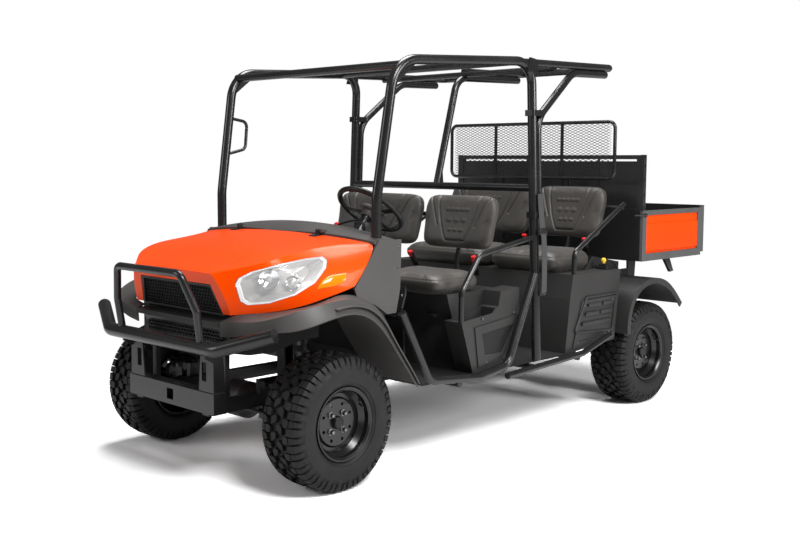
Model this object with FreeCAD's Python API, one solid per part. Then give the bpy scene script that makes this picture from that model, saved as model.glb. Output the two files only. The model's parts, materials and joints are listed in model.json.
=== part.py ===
import FreeCAD, Part
import math
import os

from FreeCAD import Rotation, Vector

# Crew utility vehicle with a tilting cargo bed, in millimetres
# Every length along the vehicle is measured rearward from the front axle.
# The vehicle faces -Y, its left side is +X and the ground is Z = 0.

# Overall layout
WHEELBASE = 2629.0
B_POST_Y = 1466.0
HALF_TRACK = 637.0
RUNNING_GAP = 0.3
SEAT_GAP = 0.3
SHUT_GAP = 5.0

# Tyres
TYRE_RADIUS = 317.5
TYRE_HALF_WIDTH = 125.0
TYRE_FACETS = 20
TREAD_BASE_RADIUS = 302.0
TREAD_HALF_WIDTH = 94.0
SHOULDER_RADIUS = 290.0
SHOULDER_INSET = 10.0
CAVITY_RADIUS = 272.0
CAVITY_HALF_WIDTH = 98.0
BEAD_RADIUS = 160.0
BEAD_HALF_WIDTH = 100.0
BEAD_INNER_HALF = 84.0
SIDEWALL_WIDEST_RADIUS = 236.0
LUG_HALF_LENGTH = 15.0
LUG_INNER = 12.0
LUG_SIDE_REACH = 262.0

# Rims
RIM_LIP_RADIUS = 170.0
RIM_LIP_OUT = 112.0
RIM_SHEET = 5.0
RIM_WELL_RADIUS = 140.0
RIM_WELL_HALF_WIDTH = 58.0
RIM_SEAT_INNER = 80.0
DISC_OUT = 56.0
DISC_STEP_RADIUS = 118.0
DISC_STEP = 10.0
HUB_RADIUS = 58.0
HUB_INNER_END = -14.0
HUB_CAP_RADIUS = 32.0
HUB_CAP_HEIGHT = 16.0
STUD_CIRCLE_RADIUS = 55.0
STUD_COUNT = 4
NUT_RADIUS = 11.0
NUT_HEIGHT = 15.0
SPINDLE_RADIUS = 20.0
SPINDLE_END = 40.0
VENT_RADIUS = 8.0
VENT_CIRCLE_RADIUS = 88.0
VENT_COUNT = 8

# Steering knuckles
KINGPIN_X = 555.0
BALL_JOINT_DROP = 101.0
KNUCKLE_PLATE_IN = -60.0
KNUCKLE_PLATE_OUT = -32.0
KNUCKLE_HALF_WIDTH = 42.0
KNUCKLE_BOSS_RADIUS = 46.0
BALL_LUG_RADIUS = 21.0
BALL_LUG_HEIGHT = 20.0
STEERING_ARM_REACH = 95.0
STEERING_ARM_WIDTH = 26.0
STEERING_EYE_IN = 15.0
TIE_BAR_REACH = 128.0
TIE_JOG_INNER = 390.0
TIE_JOG_OUTER = 430.0
STEERING_ARM_THICKNESS = 14.0
TIE_ROD_RADIUS = 9.0
TIE_ROD_EYE_RADIUS = 15.0

# Front suspension
ARM_RADIUS = 14.0
LOWER_ARM_INNER_Z = 300.0
UPPER_ARM_INNER_Z = 452.0
LOWER_ARM_FEET = (-80.0, 80.0)
UPPER_ARM_FEET = (-95.0, -12.0)
HANGER_THICKNESS = 30.0
ARM_BUSH_RADIUS = 20.0
ARM_BUSH_LENGTH = 60.0
SHOCK_Y = 58.0
SHOCK_FOOT_X = 425.0
SHOCK_FOOT_Z = 312.0
SHOCK_SEAT_HEIGHT = 30.0
SHOCK_TOP_X = 372.0
SHOCK_TOP_Z = 742.0
SHOCK_BODY_RADIUS = 22.0
SHOCK_ROD_RADIUS = 10.0
SPRING_COIL_RADIUS = 38.0
SPRING_GROOVE = 9.0
SPRING_TURNS = 4
SPRING_SEAT_HEIGHT = 8.0
SPRING_SEAT_SHARE = 0.28
SHOCK_EYE_RADIUS = 24.0
SHOCK_EYE_LENGTH = 44.0
TOWER_THICKNESS = 10.0
TOWER_RISE = 34.0

# Drive line
DIFF_HALF_WIDTH = 105.0
DIFF_RADIUS = 92.0
SHAFT_RADIUS = 14.0
PROP_RADIUS = 18.0
REAR_CASE_RADIUS = 104.0
REAR_CASE_HALF_WIDTH = 110.0
BOOT_RADIUS = 38.0
BOOT_LENGTH = 62.0
SHAFT_END_X = 535.0
ENGINE_LENGTH = 420.0
ENGINE_WIDTH = 400.0
ENGINE_HEIGHT = 330.0
ENGINE_FRONT = WHEELBASE - 699.0

# Chassis
RAIL_X = 270.0
RAIL_WIDTH = 50.0
RAIL_HEIGHT = 60.0
RAIL_Z = 345.0
RAIL_FRONT = -424.7
RAIL_KICK_START = WHEELBASE - 439.0
RAIL_KICK_END = WHEELBASE - 289.0
RAIL_REAR_Z = 545.0
RAIL_REAR = WHEELBASE + 561.0
CROSS_SIZE = 40.0
CROSS_RISE = 8.0
OUTRIGGER_RADIUS = 16.0
OUTRIGGER_Z = 385.0

# Side tubes and hand rails
SIDE_TUBE_RADIUS = 22.0
SIDE_TUBE_X = 752.0
SIDE_BOSS_RADIUS = 11.0
HIP_RAIL_RADIUS = 15.0

# Roll-over structure
ROPS_RADIUS = 25.0
ROPS_BEND = 170.0
A_FOOT = (622.0, 372.0, 640.0)
A_COWL = (603.0, 345.0, 1132.0)
A_KINK = (604.0, 345.0, 1333.0)
A_TOP = (622.0, 448.0, 1992.0)
B_TOP = (672.0, B_POST_Y, 2045.0)
B_SHOULDER = (702.0, B_POST_Y, 1215.0)
B_FOOT = (738.0, B_POST_Y, 420.0)
REAR_CORNER_Y = WHEELBASE - 338.0
REAR_RAIL_X = 662.0
REAR_RAIL_FRONT = B_TOP[1] - 70.0
REAR_RAIL_LOW = 2036.0
REAR_RAIL_HIGH = 2057.0
ROOF_STAY_Y = B_TOP[1] + 234.0
ROOF_STAY_Z = 2022.0
ROOF_STAY_RADIUS = 17.0
CROSS_BAR_RADIUS = 21.0
STRUT_RADIUS = 21.0
STRUT_FOOT_Z = 1200.0
CLAMP_Z = 1767.0
CLAMP_HEIGHT = 32.0
GUSSET_WALL = 8.0
FRONT_BAR_Y = 474.0
FRONT_BAR_Z = 1966.0
BACK_BAR_Z = 1362.0
HANDLE_RADIUS = 9.0

# Hood stations: y, lower half width, lower z, shoulder x and z, crease x and z, middle z
HOOD_STATIONS = (
    (-440.0, 312.0, 795.0, 300.0, 986.0, 286.0, 990.0, 994.0),
    (-340.0, 402.0, 816.0, 402.0, 1024.0, 314.0, 1027.0, 1032.0),
    (-240.0, 522.0, 832.0, 490.0, 1056.0, 298.0, 1064.0, 1069.0),
    (-140.0, 602.0, 855.0, 516.0, 1080.0, 280.0, 1097.0, 1102.0),
    (-40.0, 648.0, 885.0, 518.0, 1094.0, 266.0, 1115.0, 1121.0),
    (60.0, 686.0, 918.0, 522.0, 1105.0, 252.0, 1129.0, 1135.0),
    (160.0, 714.0, 956.0, 552.0, 1114.0, 240.0, 1141.0, 1147.0),
    (260.0, 728.0, 1000.0, 606.0, 1121.0, 229.0, 1148.0, 1155.0),
    (360.0, 734.0, 1046.0, 656.0, 1128.0, 221.0, 1154.0, 1162.0),
)
NOSE_FOOT = (-356.0, 798.0)
NOSE_TOP = (-420.0, 1008.0)
HOOD_WALL = 8.0
HOOD_CUT_TOP = 1300.0
HOOD_SIDE_BULGE = 16.0
HOOD_HINGE_Y = 242.0
HOOD_HINGE_Z = 1166.0
HOOD_HINGE_X = 300.0
HINGE_RADIUS = 8.0
HINGE_PIN_RADIUS = 3.5
HINGE_WIDTH = 15.0
HOOD_REAR_MIDDLE = 226.0
HOOD_REAR_CORNER = 274.0
GRILLE_TOP_HALF = 282.0
GRILLE_BOTTOM_HALF = 326.0
GRILLE_TOP_Z = 948.0
GRILLE_BOTTOM_Z = 802.0
GRILLE_INSET = 6.0
GRILLE_DEPTH = 30.0
GRILLE_RIM = 12.0
GRILLE_BARS = 6
GRILLE_BAR_HEIGHT = 6.0
LAMP_DEPTH = 34.0

# Front fascia and fenders
FLARE_X = 790.0
FLARE_WALL = 8.0
FLARE_LIP = 34.0
FLARE_STEPS = 16
LINER_INNER_X = 440.0
LINER_WALL = 6.0
FASCIA_HALF_WIDTH = 332.0
FASCIA_WALL = 6.0
FASCIA_FOOT_Y = -335.0
NOSE_POST_WIDTH = 30.0
NOSE_POST_DEPTH = 25.0
NOSE_POST_TOP = 782.0

# Cowl and dashboard
COWL_LOFT_HALF = 700.0
COWL_WALL = 12.0
COWL_FRONT = 233.0
COWL_REAR = 440.0
DASH_SHOULDER_X = 565.0
PANEL_WALL = 12.0
PANEL_TOP = (663.0, 1136.0)
PANEL_FOOT = (726.0, 789.0)

# Floor and seat bases
FLOOR_HALF_WIDTH = 716.0
FLOOR_Z = 405.0
FLOOR_WALL = 8.0
FIREWALL_Y = 418.0
SEAT_HALF_WIDTH = 600.0
SEAT_SPLIT_X = 90.0
SEAT_OUTER_X = 622.0
FRONT_ROW = B_POST_Y - 696.0
REAR_ROW = WHEELBASE - 829.0
FLOOR_REAR = REAR_ROW + 80.0
BASE_WALL = 10.0
BASE_INNER_HALF = 600.0
VENT_FRAME_RISE = 7.0
VENT_BAR_PITCH = 22.0
VENT_BAR_WIDTH = 4.0
FRONT_CUSHION_TOP = 925.0
REAR_CUSHION_TOP = 965.0
CUSHION_HEIGHT = 105.0
CUSHION_FILLET = 30.0
BACK_THICKNESS = 76.0
BACK_FILLET = 24.0
BACK_POST_RADIUS = 12.0
BACK_POST_X = 330.0
BACK_TUBE_HALF = 560.0
HAND_RAIL_IN = 16.0
FRONT_BACK = ((FRONT_ROW + 416.0, 1006.0), (FRONT_ROW + 492.0, 1356.0))
REAR_BACK = ((REAR_ROW + 444.0, 1030.0), (REAR_ROW + 522.0, 1378.0))

# Cargo bed
BED_HALF_WIDTH = 740.0
BED_FRONT = WHEELBASE - 89.0
BED_REAR = WHEELBASE + 687.0
BED_BOTTOM = 892.0
BED_FLOOR_WALL = 14.0
BED_SIDE_TOP = 1204.0
BED_WALL = 34.0
HEADBOARD_TOP = 1546.0
HEADBOARD_POST = 46.0
HEADBOARD_RAIL = 26.0
HEADBOARD_STEP = 6.0
HEADBOARD_SLOT = 12.0
HEADBOARD_SLOTS = 5
BED_HINGE_Y = WHEELBASE + 501.0
BED_HINGE_Z = 575.0
BED_HINGE_X = 302.0
BED_BRACKET_WALL = 12.0
BED_PIN_RADIUS = 14.0
BED_REST_Y = WHEELBASE - 49.0
BED_PANEL_WALL = 4.0
BED_FOLD_SHARE = 0.24
BED_WALL_CORE = 12.0
BED_FRAME_WIDTH = 46.0
BED_FRAME_TOP = 28.0
TAILGATE_WALL = 34.0
TAILGATE_HINGE_Y = BED_REAR - 11.0
TAILGATE_HINGE_Z = 905.0
TAILGATE_HINGE_X = BED_HALF_WIDTH - 140.0
TAILGATE_LUG_WALL = 12.0
TAILGATE_LUG_RADIUS = 13.0
TAILGATE_PIN_RADIUS = 7.0
TAILGATE_KNUCKLE = 28.0

# Rear screen
SCREEN_Y = WHEELBASE - 280.0
SCREEN_FOOT_Y = WHEELBASE - 180.0
SCREEN_HALF = 654.0
SCREEN_LOW = 1392.0
SCREEN_HIGH = 1757.0
SCREEN_TUBE = 22.0
SCREEN_CORNER = 42.0
SCREEN_POST_X = 262.0
SCREEN_BARS = 6

# Rear hitch
HITCH_Z = 430.0
HITCH_END = WHEELBASE + 737.4
HITCH_PIN_RADIUS = 8.0
RECEIVER_WALL = 8.0
HITCH_PIN_BACK = 60.0
FRONT_REACH = 566.4
CENTRE_FROM_AXLE = (HITCH_END - FRONT_REACH) / 2

# Lift cylinder
CYLINDER_X = 0.0
CYLINDER_FOOT = (WHEELBASE - 229.0, 565.0)
CYLINDER_EYE = (WHEELBASE + 221.0, 850.0)
CYLINDER_RADIUS = 26.0
CYLINDER_ROD_RADIUS = 13.0
CYLINDER_BARREL = 425.0
CYLINDER_END_WALL = 40.0
LIFT_PIN_RADIUS = 12.0
LIFT_EYE_RADIUS = 24.0
LIFT_EYE_WIDTH = 34.0
LIFT_LUG_WALL = 8.0

# Front bumper
BUMPER_RADIUS = 33.0
GUARD_RADIUS = 18.0
BUMPER_Y = -486.0
BUMPER_Z = 673.0
PLATE_HALF_WIDTH = 343.0
PLATE_TOP = 455.0
PLATE_BOTTOM = 357.0
PLATE_WALL = 8.0
PLATE_DEPTH = 72.0
RECEIVER_HALF = 26.0

# Steering wheel
WHEEL_CENTRE = (360.0, 548.0, 1262.0)
WHEEL_RIM_RADIUS = 172.0
WHEEL_GRIP_RADIUS = 14.0
COLUMN_LEAN = 51.5
COLUMN_LENGTH = 210.0
COLUMN_RADIUS = 24.0

SMALL_ANGLE = 0.01


# Helpers

def mirrored(shape):
    return shape.mirror(Vector(0, 0, 0), Vector(1, 0, 0))


def both_sides(shape):
    return Part.Compound([shape, mirrored(shape)])


def save(name, shape):
    moved = shape.copy()
    moved.translate(Vector(0, -CENTRE_FROM_AXLE, 0))
    moved.exportStep("parts/" + name + ".step")


def save_pair(name, shape):
    save(name + "_left", shape)
    save(name + "_right", mirrored(shape))


def vectors(rows):
    return [Vector(*row) for row in rows]


def bent_path(points, bend):
    edges = []
    start = points[0]
    for before, corner, after in zip(points, points[1:], points[2:]):
        into = (corner - before).normalize()
        out = (after - corner).normalize()
        turn = into.getAngle(out)
        if turn < SMALL_ANGLE:
            continue
        setback = bend * math.tan(turn / 2)
        first = corner - into * setback
        last = corner + out * setback
        sagitta = bend / math.cos(turn / 2) - bend
        middle = corner + (out - into).normalize() * sagitta
        edges.append(Part.LineSegment(start, first).toShape())
        edges.append(Part.Arc(first, middle, last).toShape())
        start = last
    edges.append(Part.LineSegment(start, points[-1]).toShape())
    return Part.Wire(edges)


def bent_bar(rows, radius, bend):
    points = vectors(rows)
    ring = Part.Wire([Part.makeCircle(radius, points[0], points[1] - points[0])])
    return bent_path(points, bend).makePipeShell([ring], True, False)


def bar(start, end, radius):
    first = Vector(*start)
    along = Vector(*end) - first
    return Part.makeCylinder(radius, along.Length, first, along)


def box_between(low, high):
    return Part.makeBox(high[0] - low[0], high[1] - low[1], high[2] - low[2], Vector(*low))


def closed_face(points):
    return Part.Face(Part.makePolygon(points + points[:1]))


def side_profile(rows, x_from, x_to):
    """Solid from a closed (y, z) outline, drawn out along X."""
    face = closed_face([Vector(x_from, y, z) for y, z in rows])
    return face.extrude(Vector(x_to - x_from, 0, 0))


def plan_profile(rows, z_from, z_to):
    """Solid from a closed (x, y) outline, drawn out along Z."""
    face = closed_face([Vector(x, y, z_from) for x, y in rows])
    return face.extrude(Vector(0, 0, z_to - z_from))


def front_profile(rows, y_from, y_to):
    """Solid from a closed (x, z) outline, drawn out along Y."""
    face = closed_face([Vector(x, y_from, z) for x, z in rows])
    return face.extrude(Vector(0, y_to - y_from, 0))


def offset_rows(rows, distance):
    """Open 2-D path moved sideways by a distance, with mitred corners."""
    normals = []
    for (a0, b0), (a1, b1) in zip(rows, rows[1:]):
        length = math.hypot(a1 - a0, b1 - b0)
        normals.append((-(b1 - b0) / length, (a1 - a0) / length))
    moved = []
    for index, (a, b) in enumerate(rows):
        before = normals[max(index - 1, 0)]
        after = normals[min(index, len(normals) - 1)]
        sum_a = before[0] + after[0]
        sum_b = before[1] + after[1]
        scale = distance * 2 / (sum_a * sum_a + sum_b * sum_b)
        moved.append((a + sum_a * scale, b + sum_b * scale))
    return moved


def strip_rows(rows, thickness):
    return rows + offset_rows(rows, thickness)[::-1]


def folded_sheet(rows, thickness, x_from, x_to):
    return side_profile(strip_rows(rows, thickness), x_from, x_to)


def curved_sheet(rows, thickness, x_from, x_to):
    """Sheet that follows a smooth (y, z) curve, drawn out along X."""
    outer = [Vector(x_from, y, z) for y, z in rows]
    inner = [Vector(x_from, y, z) for y, z in offset_rows(rows, thickness)]
    edges = []
    for line in (outer, inner):
        curve = Part.BSplineCurve()
        curve.interpolate(line)
        edges.append(curve.toShape())
    edges.append(Part.LineSegment(outer[0], inner[0]).toShape())
    edges.append(Part.LineSegment(outer[-1], inner[-1]).toShape())
    face = Part.Face(Part.Wire(Part.__sortEdges__(edges)))
    return face.extrude(Vector(x_to - x_from, 0, 0))


def leaning_slab(x_top, z_top, x_bottom, z_bottom, wall, y_from, y_to):
    """Flat panel whose outer face leans from one (x, z) point to another."""
    rows = [(x_top, z_top), (x_bottom, z_bottom)]
    return front_profile(strip_rows(rows, -wall), y_from, y_to)


def revolved(rows, centre):
    """Ring turned about an axis along X, from (width, radius) points."""
    face = closed_face([centre + Vector(w, 0, r) for w, r in rows])
    return face.revolve(centre, Vector(1, 0, 0), 360)


def rounded_box(low, high, radius, edges_along):
    """Box whose edges along the named axes are rounded."""
    block = box_between(low, high)
    chosen = []
    for edge in block.Edges:
        direction = edge.Vertexes[1].Point - edge.Vertexes[0].Point
        spans = {"x": abs(direction.x), "y": abs(direction.y), "z": abs(direction.z)}
        if max(spans, key=spans.get) in edges_along:
            chosen.append(edge)
    return block.makeFillet(radius, chosen)


def loft(wires):
    return Part.makeLoft(wires, True, False)


# Wheels

def facet_ring(rows, count, centre):
    """Ring of flat facets about X, from a closed outline of (width, radius to the flats)."""
    reach = 1 / math.cos(math.pi / count)
    spokes = []
    for index in range(count):
        angle = 2 * math.pi * (index + 0.5) / count
        spokes.append([
            centre + Vector(w, r * reach * math.sin(angle), -r * reach * math.cos(angle)) for w, r in rows])
    faces = []
    for here, there in zip(spokes, spokes[1:] + spokes[:1]):
        for index in range(len(rows)):
            after = (index + 1) % len(rows)
            faces.append(closed_face([here[index], there[index], there[after], here[after]]))
    shell = Part.makeShell(faces)
    shell.sewShape()
    ring = Part.Solid(shell)
    if ring.Volume < 0:
        ring.reverse()
    return ring


def tread_lug(side, turn, centre):
    """One tread block that wraps over the shoulder onto the sidewall."""
    rows = [
        (LUG_INNER, TREAD_BASE_RADIUS - 8),
        (LUG_INNER, TYRE_RADIUS),
        (TREAD_HALF_WIDTH - 2, TYRE_RADIUS),
        (TYRE_HALF_WIDTH - 6, SHOULDER_RADIUS + 4),
        (TYRE_HALF_WIDTH - 1, LUG_SIDE_REACH),
        (TYRE_HALF_WIDTH - 12, LUG_SIDE_REACH),
        (CAVITY_HALF_WIDTH + 3, SHOULDER_RADIUS - 4),
    ]
    face = closed_face([centre + Vector(side * w, -LUG_HALF_LENGTH, -r) for w, r in rows])
    lug = face.extrude(Vector(0, 2 * LUG_HALF_LENGTH, 0))
    lug.rotate(centre, Vector(1, 0, 0), turn)
    return lug


def tyre(centre):
    """Hollow tyre of flat facets with two staggered rows of tread blocks."""
    half = [
        (BEAD_INNER_HALF, BEAD_RADIUS + RUNNING_GAP),
        (BEAD_HALF_WIDTH, BEAD_RADIUS + RUNNING_GAP),
        (BEAD_HALF_WIDTH + RUNNING_GAP / 2, RIM_LIP_RADIUS + 2),
        (TYRE_HALF_WIDTH, SIDEWALL_WIDEST_RADIUS),
        (TYRE_HALF_WIDTH - SHOULDER_INSET, SHOULDER_RADIUS),
        (TREAD_HALF_WIDTH, TREAD_BASE_RADIUS),
    ]
    outline = half + [(-w, r) for w, r in reversed(half)]
    outline += [(-CAVITY_HALF_WIDTH, CAVITY_RADIUS), (CAVITY_HALF_WIDTH, CAVITY_RADIUS)]
    carcass = facet_ring(outline, TYRE_FACETS, centre)
    pitch = 360 / TYRE_FACETS
    lugs = []
    for index in range(TYRE_FACETS):
        lugs.append(tread_lug(1, index * pitch, centre))
        lugs.append(tread_lug(-1, (index + 0.5) * pitch, centre))
    return carcass.fuse(lugs)


def wheel_rim(centre, side):
    seat = BEAD_RADIUS
    outer = [
        (RIM_LIP_OUT, RIM_LIP_RADIUS),
        (BEAD_HALF_WIDTH + 2 * RUNNING_GAP, RIM_LIP_RADIUS),
        (BEAD_HALF_WIDTH + 2 * RUNNING_GAP, seat),
        (RIM_SEAT_INNER, seat),
        (RIM_WELL_HALF_WIDTH, RIM_WELL_RADIUS),
    ]
    inner = [
        (RIM_WELL_HALF_WIDTH, RIM_WELL_RADIUS - RIM_SHEET),
        (RIM_SEAT_INNER, seat - RIM_SHEET),
        (BEAD_HALF_WIDTH + RIM_SHEET, seat - RIM_SHEET),
        (RIM_LIP_OUT, RIM_LIP_RADIUS - RIM_SHEET),
    ]
    outline = outer + [(-w, r) for w, r in reversed(outer)]
    outline += [(-w, r) for w, r in reversed(inner)] + inner
    barrel = revolved([(side * w, r) for w, r in outline], centre)
    well = RIM_WELL_RADIUS - RIM_SHEET
    disc = [
        (DISC_OUT - DISC_STEP, well + 1),
        (DISC_OUT - DISC_STEP, DISC_STEP_RADIUS),
        (DISC_OUT, DISC_STEP_RADIUS - DISC_STEP),
        (DISC_OUT, HUB_CAP_RADIUS),
        (DISC_OUT + HUB_CAP_HEIGHT, HUB_CAP_RADIUS - 3),
        (DISC_OUT + HUB_CAP_HEIGHT, 0),
        (SPINDLE_END + RUNNING_GAP, 0),
        (SPINDLE_END + RUNNING_GAP, SPINDLE_RADIUS + RUNNING_GAP),
        (HUB_INNER_END, SPINDLE_RADIUS + RUNNING_GAP),
        (HUB_INNER_END, HUB_RADIUS),
        (DISC_OUT - RIM_SHEET, HUB_RADIUS),
        (DISC_OUT - RIM_SHEET, DISC_STEP_RADIUS - DISC_STEP - 2),
        (DISC_OUT - DISC_STEP - RIM_SHEET, DISC_STEP_RADIUS - 2),
        (DISC_OUT - DISC_STEP - RIM_SHEET, well + 1),
    ]
    hub = revolved([(side * w, r) for w, r in disc], centre)
    rim = barrel.fuse(hub)
    nuts = []
    for index in range(STUD_COUNT):
        angle = 2 * math.pi * (index + 0.5) / STUD_COUNT
        foot = centre + Vector(
            side * (DISC_OUT - 1),
            STUD_CIRCLE_RADIUS * math.cos(angle),
            STUD_CIRCLE_RADIUS * math.sin(angle),
        )
        nuts.append(hexagon(foot, Vector(side, 0, 0), NUT_RADIUS, NUT_HEIGHT + 1))
    rim = rim.fuse(nuts)
    vents = []
    for index in range(VENT_COUNT):
        angle = 2 * math.pi * (index + 0.5) / VENT_COUNT
        foot = centre + Vector(
            side * (DISC_OUT - 2 * RIM_SHEET),
            VENT_CIRCLE_RADIUS * math.cos(angle),
            VENT_CIRCLE_RADIUS * math.sin(angle),
        )
        vents.append(Part.makeCylinder(VENT_RADIUS, 3 * RIM_SHEET, foot, Vector(side, 0, 0)))
    return rim.cut(vents).removeSplitter()


def hexagon(foot, along, radius, height):
    across = Vector(0, 0, 1)
    if abs(along.z) > 0.5:
        across = Vector(1, 0, 0)
    other = along.cross(across)
    corners = []
    for index in range(6):
        angle = math.pi * index / 3
        corners.append(foot + across * (radius * math.cos(angle)) + other * (radius * math.sin(angle)))
    return closed_face(corners).extrude(along * height)


def wheel_centre(side, rear):
    return Vector(side * HALF_TRACK, WHEELBASE if rear else 0, TYRE_RADIUS)


def make_wheels():
    origin = Vector(0, 0, 0)
    tyre_shape = tyre(origin)
    for rear, place in ((False, "front"), (True, "rear")):
        for side, hand in ((1, "left"), (-1, "right")):
            centre = wheel_centre(side, rear)
            save("tyre_" + place + "_" + hand, tyre_shape.translated(centre))
            save("rim_" + place + "_" + hand, wheel_rim(origin, side).translated(centre))


# Front suspension and steering

def knuckle():
    """Left steering knuckle with its stub spindle and steering arm."""
    axle_z = TYRE_RADIUS
    plate_x = HALF_TRACK + KNUCKLE_PLATE_IN
    plate_end = HALF_TRACK + KNUCKLE_PLATE_OUT
    low = axle_z - BALL_JOINT_DROP + RUNNING_GAP
    high = axle_z + BALL_JOINT_DROP - RUNNING_GAP
    upright = rounded_box(
        (plate_x, -KNUCKLE_HALF_WIDTH, low),
        (plate_end, KNUCKLE_HALF_WIDTH, high),
        KNUCKLE_HALF_WIDTH * 0.6, "x")
    hub_end = HALF_TRACK + HUB_INNER_END - SHUT_GAP
    boss = bar((plate_x - 6, 0, axle_z), (hub_end, 0, axle_z), KNUCKLE_BOSS_RADIUS)
    spindle = bar((plate_x, 0, axle_z), (HALF_TRACK + SPINDLE_END, 0, axle_z), SPINDLE_RADIUS)
    pieces = [boss, spindle]
    for z_from, z_to in ((low, low + BALL_LUG_HEIGHT), (high - BALL_LUG_HEIGHT, high)):
        pieces.append(bar((KINGPIN_X, 0, z_from), (KINGPIN_X, 0, z_to), BALL_LUG_RADIUS))
        pieces.append(box_between((KINGPIN_X, -BALL_LUG_RADIUS + 3, z_from), (plate_x + 4, BALL_LUG_RADIUS - 3, z_to)))
    arm_x = KINGPIN_X - STEERING_EYE_IN
    arm_z = axle_z + TIE_ROD_RADIUS + RUNNING_GAP
    rows = [
        (plate_x + 4, -KNUCKLE_HALF_WIDTH + 4),
        (plate_x + 4, -KNUCKLE_HALF_WIDTH + 4 + STEERING_ARM_WIDTH),
        (plate_end - 2, -KNUCKLE_HALF_WIDTH + 4 + STEERING_ARM_WIDTH),
        (plate_end - 2, -KNUCKLE_HALF_WIDTH - 18),
        (arm_x + STEERING_ARM_WIDTH / 2, -STEERING_ARM_REACH + 4),
        (arm_x - STEERING_ARM_WIDTH / 2, -STEERING_ARM_REACH + 4),
    ]
    pieces.append(plan_profile(rows, arm_z, arm_z + STEERING_ARM_THICKNESS))
    pieces.append(bar(
        (arm_x, -STEERING_ARM_REACH, arm_z),
        (arm_x, -STEERING_ARM_REACH, arm_z + STEERING_ARM_THICKNESS),
        STEERING_ARM_WIDTH / 2))
    return upright.fuse(pieces).removeSplitter()


def tie_rods():
    """Steering bar that steps forward round the differential, with an eye at each end."""
    eye_x = KINGPIN_X - STEERING_EYE_IN
    inner = (TIE_JOG_INNER, -TIE_BAR_REACH, TYRE_RADIUS)
    outer = (TIE_JOG_OUTER, -STEERING_ARM_REACH, TYRE_RADIUS)
    rod = bar((-inner[0], inner[1], inner[2]), inner, TIE_ROD_RADIUS)
    low = TYRE_RADIUS - TIE_ROD_RADIUS
    half = [
        Part.makeSphere(TIE_ROD_RADIUS, Vector(*inner)),
        bar(inner, outer, TIE_ROD_RADIUS),
        Part.makeSphere(TIE_ROD_RADIUS, Vector(*outer)),
        bar(outer, (eye_x, outer[1], outer[2]), TIE_ROD_RADIUS),
        bar((eye_x, outer[1], low), (eye_x, outer[1], low + 2 * TIE_ROD_RADIUS), TIE_ROD_EYE_RADIUS),
    ]
    return rod.fuse(half + [mirrored(piece) for piece in half])


def arm_frame(ball_z, inner_z, disc_from, disc_to, feet):
    """Left wishbone: two legs from the ball joint to bushes on the rail."""
    inner_x = RAIL_X + RAIL_WIDTH / 2 + ARM_BUSH_RADIUS + SEAT_GAP
    disc = bar((KINGPIN_X, 0, disc_from), (KINGPIN_X, 0, disc_to), BALL_LUG_RADIUS)
    pieces = []
    for foot_y in feet:
        start = (KINGPIN_X - 6, math.copysign(3, foot_y), ball_z)
        pieces.append(bar(start, (inner_x, foot_y, inner_z), ARM_RADIUS))
        pieces.append(bar(
            (inner_x, foot_y - ARM_BUSH_LENGTH / 2, inner_z),
            (inner_x, foot_y + ARM_BUSH_LENGTH / 2, inner_z),
            ARM_BUSH_RADIUS))
    return disc.fuse(pieces)


def front_arms():
    low_disc = TYRE_RADIUS - BALL_JOINT_DROP
    lower = arm_frame(low_disc - ARM_RADIUS - 8, LOWER_ARM_INNER_Z, low_disc - 2 * ARM_RADIUS, low_disc, LOWER_ARM_FEET)
    high_disc = TYRE_RADIUS + BALL_JOINT_DROP
    upper = arm_frame(
        high_disc + ARM_RADIUS + 2, UPPER_ARM_INNER_Z, high_disc, high_disc + 2 * ARM_RADIUS, UPPER_ARM_FEET)
    seat = box_between(
        (SHOCK_FOOT_X - 34, SHOCK_Y - 36, SHOCK_FOOT_Z - SHOCK_EYE_RADIUS - SHOCK_SEAT_HEIGHT),
        (SHOCK_FOOT_X + 30, SHOCK_Y + 26, SHOCK_FOOT_Z - SHOCK_EYE_RADIUS - SEAT_GAP))
    return lower.fuse([seat]).removeSplitter(), upper.removeSplitter()


def coil_shock(foot, top, eye_along):
    """Coil-over shock absorber between two eyes, turned about its own axis."""
    first = Vector(*foot)
    last = Vector(*top)
    length = (last - first).Length
    lower_seat = length * SPRING_SEAT_SHARE
    upper_seat = length - SHOCK_EYE_RADIUS - 44
    pitch = (upper_seat - lower_seat - SPRING_SEAT_HEIGHT) / SPRING_TURNS
    rows = [(0, 0), (SHOCK_BODY_RADIUS, 0), (SHOCK_BODY_RADIUS, lower_seat), (SPRING_COIL_RADIUS, lower_seat)]
    rows.append((SPRING_COIL_RADIUS, lower_seat + SPRING_SEAT_HEIGHT))
    for turn in range(SPRING_TURNS):
        level = lower_seat + SPRING_SEAT_HEIGHT + turn * pitch
        rows.append((SPRING_COIL_RADIUS - SPRING_GROOVE, level + pitch * 0.25))
        rows.append((SPRING_COIL_RADIUS, level + pitch * 0.75))
    rows += [(SPRING_COIL_RADIUS, upper_seat), (SHOCK_ROD_RADIUS, upper_seat), (SHOCK_ROD_RADIUS, length), (0, length)]
    face = closed_face([Vector(r, 0, h) for r, h in rows])
    body = face.revolve(Vector(0, 0, 0), Vector(0, 0, 1), 360)
    body.Placement = FreeCAD.Placement(first, Rotation(Vector(0, 0, 1), last - first))
    across = Vector(*eye_along)
    eyes = []
    for centre in (first, last):
        eyes.append(Part.makeCylinder(SHOCK_EYE_RADIUS, SHOCK_EYE_LENGTH, centre - across * (SHOCK_EYE_LENGTH / 2), across))
    return body.fuse(eyes)


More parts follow.
